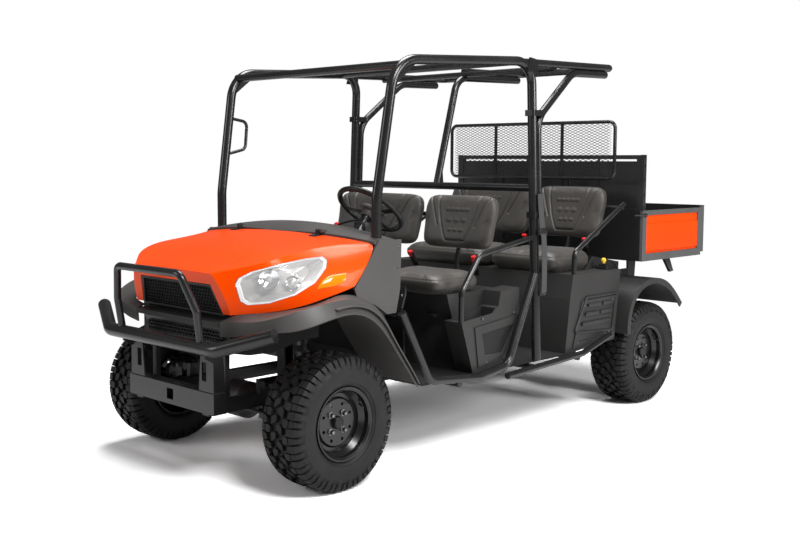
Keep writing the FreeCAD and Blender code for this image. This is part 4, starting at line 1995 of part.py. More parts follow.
def make_lift():
    """Lift cylinder from a cross pin on the chassis to the clevis under the bed."""
    foot = Vector(CYLINDER_X, CYLINDER_FOOT[0], CYLINDER_FOOT[1])
    eye = Vector(CYLINDER_X, CYLINDER_EYE[0], CYLINDER_EYE[1])
    along = (eye - foot).normalize()
    length = (eye - foot).Length
    across = Vector(1, 0, 0)
    barrel = Part.makeCylinder(CYLINDER_RADIUS, CYLINDER_BARREL, foot, along)
    bore = Part.makeCylinder(
        CYLINDER_ROD_RADIUS + RUNNING_GAP, CYLINDER_BARREL, foot + along * CYLINDER_END_WALL, along)
    end = Part.makeCylinder(LIFT_EYE_RADIUS, LIFT_EYE_WIDTH, foot - across * (LIFT_EYE_WIDTH / 2), across)
    pin = Part.makeCylinder(LIFT_PIN_RADIUS + RUNNING_GAP, 100, foot - across * 50, across)
    save("lift_barrel", barrel.fuse(end).cut([bore, pin]).removeSplitter())
    rod = Part.makeCylinder(
        CYLINDER_ROD_RADIUS, length - CYLINDER_END_WALL - 5, foot + along * (CYLINDER_END_WALL + 5), along)
    rod_eye = Part.makeCylinder(LIFT_EYE_RADIUS, LIFT_EYE_WIDTH, eye - across * (LIFT_EYE_WIDTH / 2), across)
    save("lift_rod", rod.fuse(rod_eye).removeSplitter())


def main():
    os.makedirs("parts", exist_ok=True)
    make_wheels()
    make_front_suspension()
    make_rear_axle()
    make_chassis()
    make_bumper()
    make_hood()
    make_front_body()
    make_cowl()
    make_seats()
    make_side_tubes()
    make_rops()
    make_rear_body()
    make_bed()
    make_lift()


main()
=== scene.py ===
"""Looks of the crew utility vehicle: finishes, tyres, seats, lamps, meshes, stage and camera."""

import json
import logging
import math
from collections.abc import Callable, Sequence
from dataclasses import dataclass
from enum import Enum

import bpy
import bmesh
from mathutils import Matrix, Vector
from mathutils.bvhtree import BVHTree

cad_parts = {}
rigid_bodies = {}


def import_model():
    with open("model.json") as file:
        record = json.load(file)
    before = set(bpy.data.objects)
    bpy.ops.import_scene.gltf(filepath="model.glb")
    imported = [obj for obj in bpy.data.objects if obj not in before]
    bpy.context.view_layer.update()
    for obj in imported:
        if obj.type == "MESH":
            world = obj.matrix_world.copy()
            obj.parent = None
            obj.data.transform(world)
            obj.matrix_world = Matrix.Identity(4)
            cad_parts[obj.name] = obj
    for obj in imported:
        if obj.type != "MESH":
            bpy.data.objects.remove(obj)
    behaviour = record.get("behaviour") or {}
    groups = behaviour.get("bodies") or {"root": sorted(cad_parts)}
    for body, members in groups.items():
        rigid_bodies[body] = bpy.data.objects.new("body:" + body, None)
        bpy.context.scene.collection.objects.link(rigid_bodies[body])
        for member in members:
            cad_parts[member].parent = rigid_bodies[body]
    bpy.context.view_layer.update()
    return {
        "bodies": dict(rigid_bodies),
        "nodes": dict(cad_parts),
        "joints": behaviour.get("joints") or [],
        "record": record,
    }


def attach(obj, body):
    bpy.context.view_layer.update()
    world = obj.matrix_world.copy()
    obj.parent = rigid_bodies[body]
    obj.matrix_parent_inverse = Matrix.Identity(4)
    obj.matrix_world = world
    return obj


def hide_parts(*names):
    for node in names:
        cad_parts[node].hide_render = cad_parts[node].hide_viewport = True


logging.basicConfig(level=logging.INFO, format="%(name)s %(message)s")
LOG = logging.getLogger("scene")

AXLE_OFFSET = 1400.0  # The frame's origin lies this far behind the front axle, mm
ACROSS = Vector((1.0, 0.0, 0.0))
WHITE = (1.0, 1.0, 1.0, 1.0)
Colour = tuple[float, float, float]
Point = tuple[float, float, float]
Flat = tuple[float, float]


# Shader maths

class Sock:
    """A shader output that can be added and multiplied in formulas.

    Args:
        graph: The graph that the output belongs to.
        socket: The Blender output socket.
    """

    def __init__(self, graph: "Graph", socket: bpy.types.NodeSocket) -> None:
        """Keeps the output and its graph."""
        self.graph = graph
        self.socket = socket

    def __add__(self, other: "Sock | float") -> "Sock":
        """Returns the sum."""
        return self.graph.math("ADD", self, other)

    def __mul__(self, other: "Sock | float") -> "Sock":
        """Returns the product."""
        return self.graph.math("MULTIPLY", self, other)

    __radd__ = __add__
    __rmul__ = __mul__

    def step(self, low: float, high: float) -> "Sock":
        """Maps low…high smoothly to 0…1."""
        values = {"Value": self, "From Min": low, "From Max": high, "To Min": 0.0, "To Max": 1.0}
        return self.graph.output("ShaderNodeMapRange", {"interpolation_type": "SMOOTHSTEP"}, values, "Result")


class Graph:
    """The node graph of one material or world, with short calls for its nodes.

    Args:
        owner: The new material or world.
    """

    def __init__(self, owner: "bpy.types.Material | bpy.types.World") -> None:
        """Empties the owner's node tree."""
        owner.use_nodes = True
        self.owner = owner
        self.tree = owner.node_tree
        self.tree.nodes.clear()
        self._coords: Sock | None = None

    def node(self, kind: str, settings: dict | None = None, values: dict | None = None) -> bpy.types.Node:
        """Adds a node and fills its settings and inputs.

        Args:
            kind: Blender's name of the node type.
            settings: Properties of the node.
            values: Inputs by name or index; a Sock is linked, anything else is set.

        Returns:
            The new node.
        """
        made = self.tree.nodes.new(kind)
        for key, value in (settings or {}).items():
            setattr(made, key, value)
        for key, value in (values or {}).items():
            if isinstance(value, Sock):
                self.tree.links.new(value.socket, made.inputs[key])
            else:
                made.inputs[key].default_value = value
        return made

    def output(self, kind: str, settings: dict | None = None, values: dict | None = None,
               socket: int | str = 0) -> Sock:
        """Adds a node and returns one of its outputs."""
        return Sock(self, self.node(kind, settings, values).outputs[socket])

    def math(self, operation: str, *terms: Sock | float) -> Sock:
        """Returns the result of a math node."""
        return self.output("ShaderNodeMath", {"operation": operation}, dict(enumerate(terms)))

    def coords(self) -> Sock:
        """Returns the object coordinates, in metres."""
        if self._coords is None:
            self._coords = self.output("ShaderNodeTexCoord", socket="Object")
        return self._coords

    def axes(self) -> list[Sock]:
        """Returns x, y and z of the object coordinates."""
        node = self.node("ShaderNodeSeparateXYZ", None, {0: self.coords()})
        return [Sock(self, socket) for socket in node.outputs]

    def noise(self, scale: float, detail: float = 2.0, rough: float = 0.5) -> Sock:
        """Returns a noise in object space, about 0.5 on average; scale is in features per metre."""
        values = {"Vector": self.coords(), "Scale": scale, "Detail": detail, "Roughness": rough}
        return self.output("ShaderNodeTexNoise", None, values)

    def mix(self, factor: Sock, first: Colour, second: Colour) -> Sock:
        """Returns a mixture of two linear colours; the factor is the share of the second."""
        values = {0: factor, 6: (*first, 1.0), 7: (*second, 1.0)}
        return self.output("ShaderNodeMix", {"data_type": "RGBA"}, values, 2)

    def bump(self, height: Sock, depth: float) -> Sock:
        """Turns a height between 0 and 1 into a normal; the depth of 1 is in metres."""
        return self.output("ShaderNodeBump", None, {"Height": height, "Distance": depth, "Strength": 1.0})

    def shown(self, lighting: Sock, seen: Sock) -> Sock:
        """Returns a shader that the camera sees otherwise than the rest of the light does."""
        ray = self.output("ShaderNodeLightPath", socket="Is Camera Ray")
        return self.output("ShaderNodeMixShader", None, {0: ray, 1: lighting, 2: seen})


# Finishes

@dataclass(frozen=True)
class Finish:
    """A surface finish; each kind adds the inputs of its shader.

    Attributes:
        name: Material name.
        colour: Linear base colour.
    """

    name: str
    colour: Colour

    def inputs(self, graph: Graph) -> dict:
        """Returns the inputs of the Principled shader."""
        raise NotImplementedError

    def paler(self, gain: float, lift: float) -> Colour:
        """Returns the base colour with a gain and a lift, for dusty or worn patches."""
        return tuple(min(1.0, part * gain + lift) for part in self.colour)

    def material(self) -> bpy.types.Material:
        """Builds the material."""
        graph = Graph(bpy.data.materials.new(self.name))
        values = {key: (*value, 1.0) if isinstance(value, tuple) and len(value) == 3 else value
                  for key, value in self.inputs(graph).items()}
        surface = graph.output("ShaderNodeBsdfPrincipled", None, values)
        graph.node("ShaderNodeOutputMaterial", None, {"Surface": surface})
        return graph.owner


@dataclass(frozen=True)
class Moulded(Finish):
    """Moulded plastic with a fine grain and slight shading of dust.

    Attributes:
        rough: Mean roughness.
        grain: Height of the grain in metres.
        pitch: Grain features per metre.
    """

    rough: float = 0.5
    grain: float = 0.0001
    pitch: float = 700.0

    def inputs(self, graph: Graph) -> dict:
        """Returns the inputs of the Principled shader."""
        cloud = graph.noise(3.0, 4.0)
        fine = graph.noise(self.pitch, 3.0, 0.6)
        return {
            "Base Color": graph.mix(cloud.step(0.3, 0.75) * 0.6, self.colour, self.paler(1.22, 0.004)),
            "Roughness": cloud * 0.1 + fine * 0.08 + (self.rough - 0.09),
            "Specular IOR Level": 0.3,
            "Normal": graph.bump(fine, self.grain),
        }


@dataclass(frozen=True)
class Paint(Finish):
    """Glossy moulded-in colour with a clear coat and faint orange peel.

    Attributes:
        deep: Linear colour of the darker patches.
    """

    deep: Colour

    def inputs(self, graph: Graph) -> dict:
        """Returns the inputs of the Principled shader."""
        cloud = graph.noise(2.2, 3.0)
        return {
            "Base Color": graph.mix(cloud.step(0.35, 0.7) * 0.5, self.colour, self.deep),
            "Roughness": cloud * 0.08 + 0.34,
            "Specular IOR Level": 0.3,
            "Specular Tint": (1.0, 0.30, 0.08, 1.0),
            "Coat Weight": 0.12,
            "Coat Roughness": 0.10,
            "Normal": graph.bump(graph.noise(160.0), 0.00006),
        }


@dataclass(frozen=True)
class Coated(Finish):
    """Powder-coated or bare steel.

    Attributes:
        rough: Mean roughness.
        metallic: 0 for a thick coat, 1 for bare metal.
        grain: Height of the grain in metres.
    """

    rough: float = 0.38
    metallic: float = 0.0
    grain: float = 0.00004

    def inputs(self, graph: Graph) -> dict:
        """Returns the inputs of the Principled shader."""
        cloud = graph.noise(5.0, 4.0)
        return {
            "Base Color": graph.mix(cloud.step(0.35, 0.8) * 0.6, self.colour, self.paler(1.3, 0.006)),
            "Roughness": cloud * 0.12 + (self.rough - 0.06),
            "Metallic": self.metallic,
            "Specular IOR Level": 0.4,
            "Coat Weight": 0.15 * (1.0 - self.metallic),
            "Coat Roughness": 0.2,
            "Normal": graph.bump(graph.noise(900.0), self.grain),
        }


@dataclass(frozen=True)
class BedSteel(Finish):
    """Dark bed steel whose outer frame faces are lighter and mottled.

    Attributes:
        outside: Linear colour of the faces that stand farthest out.
        edge: Distance from the middle where the outer faces start, metres.
    """

    outside: Colour
    edge: float = 0.722

    def inputs(self, graph: Graph) -> dict:
        """Returns the inputs of the Principled shader."""
        cloud = graph.noise(6.0, 4.0)
        away = graph.math("ABSOLUTE", graph.axes()[0])
        share = away.step(self.edge - 0.004, self.edge + 0.004) * (cloud * 0.5 + 0.6)
        return {
            "Base Color": graph.mix(share, self.colour, self.outside),
            "Roughness": cloud * 0.12 + 0.36,
            "Specular IOR Level": 0.35,
            "Normal": graph.bump(graph.noise(700.0), 0.00006),
        }


@dataclass(frozen=True)
class Rubber(Finish):
    """Tyre rubber with a dusty bloom.

    Attributes:
        bloom: Linear colour of the dusty parts.
    """

    bloom: Colour

    def inputs(self, graph: Graph) -> dict:
        """Returns the inputs of the Principled shader."""
        cloud = graph.noise(14.0, 5.0, 0.6)
        return {
            "Base Color": graph.mix(cloud.step(0.35, 0.75) * 0.7, self.colour, self.bloom),
            "Roughness": cloud * 0.15 + 0.48,
            "Specular IOR Level": 0.3,
            "Normal": graph.bump(graph.noise(500.0), 0.00015),
        }


@dataclass(frozen=True)
class Vinyl(Finish):
    """Seat vinyl with a leather-like cell grain and faint creases."""

    def inputs(self, graph: Graph) -> dict:
        """Returns the inputs of the Principled shader."""
        cloud = graph.noise(6.0, 4.0)
        grain = graph.output("ShaderNodeTexVoronoi", {"feature": "SMOOTH_F1"},
                             {"Vector": graph.coords(), "Scale": 420.0}, "Distance")
        crease = graph.noise(28.0, 3.0, 0.6)
        return {
            "Base Color": graph.mix(cloud.step(0.3, 0.8) * 0.7, self.colour, self.paler(1.35, 0.006)),
            "Roughness": grain * 0.12 + cloud * 0.08 + 0.4,
            "Sheen Weight": 0.12,
            "Sheen Roughness": 0.4,
            "Normal": graph.bump(grain * 0.35 + crease * 0.65, 0.0006),
        }


@dataclass(frozen=True)
class Lens(Finish):
    """Tinted lamp cover.

    Attributes:
        transmission: Share of light let through.
    """

    transmission: float = 0.9

    def inputs(self, graph: Graph) -> dict:
        """Returns the inputs of the Principled shader."""
        fine = graph.noise(60.0)
        return {
            "Base Color": self.colour,
            "Roughness": fine * 0.04 + 0.02,
            "Transmission Weight": self.transmission,
            "IOR": 1.2,
            "Coat Weight": 0.5,
            "Normal": graph.bump(fine, 0.00004),
        }


@dataclass(frozen=True)
class Cover(Finish):
    """Clear lamp cover seen mostly through, with a faint white veil.

    Attributes:
        veil: Share of the veil.
    """

    veil: float = 0.2

    def inputs(self, graph: Graph) -> dict:
        """Returns the inputs of the Principled shader."""
        cloud = graph.noise(25.0)
        return {
            "Base Color": self.colour,
            "Roughness": cloud * 0.04 + 0.03,
            "Alpha": cloud * 0.06 + self.veil,
        }


# Surfaces of the vehicle

PLASTIC = Moulded("dark_plastic", (0.058, 0.055, 0.053), 0.42)
PLASTIC_BLACK = Moulded("black_plastic", (0.0085, 0.0085, 0.009), 0.42)
FLOOR_PLASTIC = Moulded("floor_plastic", (0.009, 0.009, 0.0095), 0.6)
# Painted shade: the dark plastic made darker for the seat bases, fascia and rear fenders, standing in for the
# shade they sit in.
SHADED_PLASTIC = Moulded("painted_shade_plastic", (0.026, 0.025, 0.0245), 0.45)
RED_PLASTIC = Moulded("red_plastic", (0.62, 0.012, 0.012), 0.35, 0.00003)
ORANGE_PLASTIC = Moulded("orange_plastic", (0.75, 0.085, 0.01), 0.35, 0.00003)
YELLOW_PLASTIC = Moulded("yellow_plastic", (0.74, 0.46, 0.03), 0.35, 0.00003)
# Painted shade: a near-black matt finish for sheets set behind the nose openings, where only shade shows.
SHADE_BLACK = Moulded("painted_shade_black", (0.003, 0.003, 0.003), 0.8)
WEBBING = Moulded("belt_webbing", (0.045, 0.045, 0.046), 0.75, 0.0004, 420.0)
ORANGE = Paint("orange_paint", (0.86, 0.060, 0.0), (0.76, 0.044, 0.0))
TUBE = Coated("black_tube", (0.0095, 0.0095, 0.010), 0.26)
FRAME_STEEL = Coated("chassis_steel", (0.006, 0.006, 0.0065), 0.42)
BED_STEEL = Coated("bed_steel", (0.0125, 0.0125, 0.013), 0.42)
BED_FRAME = BedSteel("bed_frame_steel", (0.0115, 0.0115, 0.012), (0.095, 0.095, 0.096))
MESH_STEEL = Coated("mesh_steel", (0.012, 0.012, 0.0125), 0.4)
BARE = Coated("bare_steel", (0.48, 0.48, 0.49), 0.26, 1.0)
NUT_STEEL = Coated("nut_steel", (0.20, 0.20, 0.205), 0.30, 1.0)
BARE_DARK = Coated("dark_screw", (0.10, 0.10, 0.10), 0.35, 0.8)
CHROME = Coated("bright_chrome", (0.82, 0.82, 0.83), 0.10, 1.0, 0.00001)
SILVER = Coated("lamp_silver", (0.42, 0.41, 0.40), 0.30, 0.3, 0.00002)
LAMP_FRAME = Coated("lamp_frame", (0.86, 0.86, 0.87), 0.22, 0.15, 0.00001)
BULB = Coated("bulb_glass", (0.55, 0.55, 0.52), 0.12, 0.2, 0.00001)
ALLOY = Coated("gray_casting", (0.09, 0.09, 0.09), 0.42, 0.8)
RIM_BLACK = Coated("rim_black", (0.0065, 0.0065, 0.007), 0.24)
TYRE_RUBBER = Rubber("tyre_rubber", (0.0052, 0.0052, 0.0052), (0.0135, 0.013, 0.0125))
SEAT_VINYL = Vinyl("seat_vinyl", (0.038, 0.034, 0.030))
CLEAR_LENS = Cover("clear_cover", (0.86, 0.87, 0.88), 0.09)
AMBER_LENS = Lens("amber_lens", (0.95, 0.30, 0.005), 0.25)
RED_LENS = Lens("red_lens", (0.5, 0.006, 0.006), 0.3)

NODE_FINISHES: dict[Finish, tuple[str, ...]] = {
    PLASTIC: ("front_fenders", "side_panels", "cowl"),
    # These parts take the darker copy of the dark plastic: painted shade.
    SHADED_PLASTIC: ("front_fascia", "rear_fenders", "front_seat_base", "rear_seat_base"),
    PLASTIC_BLACK: ("steering_wheel", "grille", "pedals"),
    BED_STEEL: ("headboard",),
    BED_FRAME: ("bed_tub", "tailgate"),
    FLOOR_PLASTIC: ("floor_pan", "dashboard", "seat_back_frame"),
    ORANGE: ("hood", "bed_side_panels"),
    TUBE: ("bumper_bar", "grille_guard", "bumper_mount", "side_tubes", "hand_rails", "roof_hoops",
           "roof_rear_hoop", "roof_crossbars", "roof_brackets", "rear_struts", "rear_screen",
           "steering_column"),
    FRAME_STEEL: ("chassis_rails", "crossmembers", "front_arms", "rear_axle", "leaf_springs",
                  "rear_hitch", "lift_barrel", "tie_rods"),
    ALLOY: ("engine_block", "front_drive", "knuckle_left", "knuckle_right", "front_shocks"),
    BARE: ("lift_rod",),
    RIM_BLACK: ("rim_front_left", "rim_front_right", "rim_rear_left", "rim_rear_right"),
    TYRE_RUBBER: ("tyre_front_left", "tyre_front_right", "tyre_rear_left", "tyre_rear_right"),
    SEAT_VINYL: ("seat_cushions", "seat_backrests"),
    CLEAR_LENS: ("headlamps",),
    RED_LENS: ("tail_lamps",),
}


# Meshes

AXIS_GAP = 0.00002  # Smallest radius of a lathe, so that its ring isn't a point
WELD = 0.00004  # Corners nearer to each other than this are one, metres
KNOB_OUTLINE = ((0.0, 0.0), (0.0, 0.55), (0.25, 0.8), (0.55, 1.0), (0.8, 0.86), (0.95, 0.5), (1.0, 0.0))


def at(x: float, y: float, z: float) -> Vector:
    """Turns millimetres across, rearwards from the front axle and up into a place in the frame."""
    return Vector((x, y - AXLE_OFFSET, z)) / 1000.0


def path(*points: Point, sign: float = 1) -> list[Vector]:
    """Turns rows of millimetres into places; a sign of -1 mirrors them to the other side."""
    return [at(sign * x, y, z) for x, y, z in points]


def upright(x: float, *corners: Flat) -> list[Vector]:
    """Returns the corners (y, z) of an upright sheet at one x, all in millimetres."""
    return [at(x, y, z) for y, z in corners]


def circle_way(right: Vector, up: Vector, angle: float) -> Vector:
    """Returns the direction at an angle in the plane of two directions."""
    return right * math.cos(angle) + up * math.sin(angle)


def headings(points: list[Vector], closed: bool = False) -> list[Vector]:
    """Returns the direction of a line at each of its points.

    Args:
        points: The line.
        closed: Whether the line ends where it starts.
    """
    if closed:
        before, after = points[-1:] + points[:-1], points[1:] + points[:1]
    else:
        before, after = points[:1] + points[:-1], points[1:] + points[-1:]
    return [(end - start).normalized() for start, end in zip(before, after)]


def linked(name: str, data: bpy.types.ID) -> bpy.types.Object:
    """Returns a new object that is linked to the scene.

    Args:
        name: Name of the object.
        data: Its mesh, lamp or camera.
    """
    made = bpy.data.objects.new(name, data)
    bpy.context.collection.objects.link(made)
    return made


def worked_out(item: bpy.types.Object) -> bpy.types.Object:
    """Returns an object as its modifiers leave it."""
    return item.evaluated_get(bpy.context.evaluated_depsgraph_get())


class Form:
    """A mesh under construction that becomes one finished piece.

    Args:
        name: Name of the piece.
    """

    def __init__(self, name: str) -> None:
        """Starts an empty mesh."""
        self.name = name
        self.bm = bmesh.new()

    def skin(self, rings: list[list[Vector]], closed: bool = False) -> list[list[bmesh.types.BMVert]]:
        """Joins rings of equal length by faces and leaves the ends open.

        Args:
            rings: Rings of points, each a closed loop.
            closed: Whether the last ring joins the first.

        Returns:
            The new corners, ring by ring.
        """
        rows = [[self.bm.verts.new(p) for p in ring] for ring in rings]
        for here, there in zip(rows, rows[1:] + rows[:1] if closed else rows[1:]):
            for index in range(len(here)):
                after = (index + 1) % len(here)
                self.bm.faces.new((here[index], here[after], there[after], there[index]))
        return rows

    def rings(self, rings: list[list[Vector]], closed: bool = False) -> "Form":
        """Joins rings of equal length into a solid.

        Args:
            rings: Rings of points, each a closed loop.
            closed: Whether the last ring joins the first; otherwise both ends are capped.
        """
        rows = self.skin(rings, closed)
        if not closed:
            self.bm.faces.new(list(reversed(rows[0])))
            self.bm.faces.new(rows[-1])
        return self

    def lathe(self, rows: Sequence[Flat], centre: Vector, axis: Vector, steps: int) -> "Form":
        """Turns a closed outline of (along, radius) pairs round an axis.

        Args:
            rows: Outline in metres.
            centre: A point of the axis.
            axis: Direction of the axis.
            steps: Facets round the axis.
        """
        axis = axis.normalized()
        side = axis.orthogonal().normalized()
        up = axis.cross(side)
        spokes = []
        for step in range(steps):
            way = circle_way(side, up, 2.0 * math.pi * step / steps)
            spokes.append([centre + axis * a + way * max(r, AXIS_GAP) for a, r in rows])
        return self.rings(spokes, closed=True)

    def tube(self, points: list[Vector], radius: float, sides: int = 10, closed: bool = False) -> "Form":
        """Sweeps a round section along points.

        Args:
            points: Middle line.
            radius: Radius of the section.
            sides: Facets round the section.
            closed: Whether the line ends where it starts.
        """
        side = None
        rings = []
        turns = [2.0 * math.pi * step / sides for step in range(sides)]
        for point, along in zip(points, headings(points, closed)):
            side = (side - along * side.dot(along)).normalized() if side else along.orthogonal().normalized()
            up = along.cross(side)
            rings.append([point + side * (radius * math.cos(t)) + up * (radius * math.sin(t)) for t in turns])
        return self.rings(rings, closed)

    def strap(self, points: list[Vector], across: Vector, width: float, thick: float) -> "Form":
        """Sweeps a flat section along points.

        Args:
            points: Middle line.
            across: Direction of the width.
            width: Width of the strap.
            thick: Thickness of the strap.
        """
        across = across.normalized()
        rings = []
        for point, along in zip(points, headings(points)):
            out = along.cross(across).normalized() * (thick / 2)
            wide, edge = across * (width / 2), across * (width / 2 - thick / 2)
            rings.append([point + edge + out, point + wide, point + edge - out,
                          point - edge - out, point - wide, point - edge + out])
        return self.rings(rings)

    def slab(self, outline: list[Vector], push: Vector, bevel: float = 0.0) -> "Form":
        """Pushes a flat outline into a slab with softened edges.

        Args:
            outline: Corners of the flat outline.
            push: Depth of the slab as a vector.
            bevel: Width of the softened edges.
        """
        base = [self.bm.verts.new(p) for p in outline]
        face = self.bm.faces.new(base)
        pushed = bmesh.ops.extrude_face_region(self.bm, geom=[face])["geom"]
        verts = [item for item in pushed if isinstance(item, bmesh.types.BMVert)]
        bmesh.ops.translate(self.bm, vec=push, verts=verts)
        if bevel:
            edges = list(dict.fromkeys(edge for vert in base + verts for edge in vert.link_edges))
            bmesh.ops.bevel(self.bm, geom=edges, offset=bevel, segments=2, profile=0.6, affect="EDGES")
        return self

    def block(self, low: Vector, high: Vector, bevel: float) -> "Form":
        """Adds a box with softened edges.

        Args:
            low: Lowest corner.
            high: Highest corner.
            bevel: Width of the softened edges.
        """
        corners = ((low.x, low.y), (high.x, low.y), (high.x, high.y), (low.x, high.y))
        outline = [Vector((x, y, low.z)) for x, y in corners]
        return self.slab(outline, Vector((0.0, 0.0, high.z - low.z)), bevel)

    def side_block(self, sign: float, x: Flat, y: Flat, z: Flat, bevel: float) -> "Form":
        """Adds a box on one side of the vehicle from its spans in millimetres; x runs outwards."""
        near, far = sorted((sign * x[0], sign * x[1]))
        return self.block(at(near, y[0], z[0]), at(far, y[1], z[1]), bevel)

    def knob(self, foot: Vector, along: Vector, radius: float, height: float) -> "Form":
        """Adds a rounded knob that stands on a foot."""
        rows = [(height * rise, radius * wide) for rise, wide in KNOB_OUTLINE]
        return self.lathe(rows, foot, along, 20)

    def done(self, finish: Finish, body: str, replaces: tuple[str, ...] = (),
             smooth: float = 35.0) -> bpy.types.Object:
        """Ends the mesh as one piece that rides on a body.

        Args:
            finish: The finish of its surface.
            body: Name of the body.
            replaces: CAD nodes that the piece stands for.
            smooth: Edges flatter than this angle are shaded smooth, degrees.

        Returns:
            The new object.
        """
        bmesh.ops.remove_doubles(self.bm, verts=self.bm.verts[:], dist=WELD)
        bmesh.ops.recalc_face_normals(self.bm, faces=self.bm.faces[:])
        limit = math.radians(smooth)
        for edge in self.bm.edges:
            edge.smooth = edge.calc_face_angle(0.0) < limit
        for face in self.bm.faces:
            face.smooth = True
        mesh = bpy.data.meshes.new(self.name)
        self.bm.to_mesh(mesh)
        self.bm.free()
        mesh.materials.append(finished(finish))
        piece = linked(self.name, mesh)
        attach(piece, body)
        if replaces:
            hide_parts(*replaces)
        LOG.info("piece %s on %s", self.name, body)
        return piece


MADE: dict[Finish, bpy.types.Material] = {}


def finished(finish: Finish) -> bpy.types.Material:
    """Returns a finish's material, built once.

    Args:
        finish: One of the finishes.
    """
    if finish not in MADE:
        MADE[finish] = finish.material()
    return MADE[finish]


# Wheels

class Side(Enum):
    """Side of the vehicle; the value is the sign of x."""

    LEFT = 1
    RIGHT = -1

    @property
    def label(self) -> str:
        """The side's part in the names of pieces."""
        return self.name.lower()

    @property
    def out(self) -> Vector:
        """The direction away from the vehicle on this side."""
        return Vector((self.value, 0.0, 0.0))


@dataclass(frozen=True)
class Tyre:
    """Off-road tyre with interlocking tread blocks and a ribbed sidewall.

    Attributes:
        pitches: Tread repeats round the tyre.
        radius: Radius over the blocks.
        base: Radius of the tread floor.
        steps: Facets round the carcass.
        flank: Slope of a block's walls along the tread.
        outer: Half outline from bead to tread as (across, radius), metres.
        hollow: Half outline of the hollow behind it.
    """

    pitches: int = 26
    radius: float = 0.3172
    base: float = 0.2990
    steps: int = 104
    flank: float = 0.0022
    outer: tuple[Flat, ...] = (
        (0.084, 0.1605), (0.0995, 0.161), (0.1015, 0.1725), (0.108, 0.176), (0.1135, 0.184), (0.1165, 0.191),
        (0.1195, 0.192), (0.1215, 0.199), (0.1235, 0.216), (0.1246, 0.236), (0.1238, 0.252), (0.1242, 0.2545),
        (0.1222, 0.2575), (0.120, 0.266), (0.1155, 0.276), (0.108, 0.286), (0.097, 0.2935), (0.07, 0.2978),
    )
    hollow: tuple[Flat, ...] = ((0.104, 0.276), (0.114, 0.236), (0.1, 0.19), (0.086, 0.166))

    def carcass(self, form: Form, centre: Vector) -> None:
        """Turns the hollow carcass with its sidewall ribs.

        Args:
            form: The mesh.
            centre: Wheel centre.
        """
        half = [*self.outer, (0.03, self.base)]
        rows = half + [(-w, r) for w, r in reversed(half)] + [(-w, r) for w, r in reversed(self.hollow)]
        form.lathe([*rows, *self.hollow], centre, ACROSS, self.steps)

    def block(self, form: Form, centre: Vector, turn: float, rows: list[tuple[float, ...]]) -> None:
        """Adds one tread block.

        Args:
            form: The mesh.
            centre: Wheel centre.
            turn: Angle round the wheel, radians.
            rows: Across, foot radius, top radius, start and end along the tread, all in metres.
        """
        rings = []
        for across, foot, top, start, end in rows:
            ring = []
            section = ((foot, start - self.flank), (foot, end + self.flank), (top, end), (top, start))
            for radius, along in section:
                angle = turn + along / self.radius
                ring.append(centre + Vector((across, radius * math.sin(angle), -radius * math.cos(angle))))
            rings.append(ring)
        form.rings(rings)

    def tread(self, form: Form, centre: Vector) -> None:
        """Sets the blocks round the tyre, with one side half a pitch behind the other.

        Args:
            form: The mesh.
            centre: Wheel centre.
        """
        pitch = 2.0 * math.pi / self.pitches
        low, top = self.base - 0.004, self.radius
        blocks = (
            ((0.003, low, top, 0.004, 0.026), (0.016, low, top, 0.0, 0.037), (0.036, low, top, 0.012, 0.046)),
            ((0.041, low, top, -0.020, 0.004), (0.058, low, top, -0.028, 0.010),
             (0.074, low - 0.002, top - 0.001, -0.024, 0.004)),
            ((0.066, low - 0.001, top - 0.0006, 0.018, 0.044),
             (0.088, low - 0.004, top - 0.003, 0.010, 0.046),
             (0.106, 0.290, 0.3085, 0.010, 0.046), (0.1175, 0.276, 0.294, 0.012, 0.044),
             (0.1225, 0.262, 0.276, 0.014, 0.040), (0.1238, 0.250, 0.258, 0.018, 0.036)),
            ((0.079, low - 0.003, top - 0.0022, -0.024, 0.003),
             (0.092, low - 0.005, top - 0.004, -0.026, 0.003),
             (0.1075, 0.289, 0.3075, -0.024, 0.002), (0.117, 0.278, 0.2955, -0.022, 0.0),
             (0.1205, 0.272, 0.286, -0.020, -0.002)),
        )
        for index in range(self.pitches):
            for sign, shift in ((1.0, 0.0), (-1.0, 0.5)):
                turn = pitch * (index + shift)
                for rows in blocks:
                    self.block(form, centre, turn, [(sign * w, f, t, a, b) for w, f, t, a, b in rows])

    def build(self, name: str, centre: Vector) -> None:
        """Builds one tyre.

        Args:
            name: Which wheel, such as front_left.
            centre: Wheel centre.
        """
        form = Form(f"tread_{name}")
        self.carcass(form, centre)
        self.tread(form, centre)
        form.done(TYRE_RUBBER, f"wheel_{name}", (f"tyre_{name}",), 28.0)


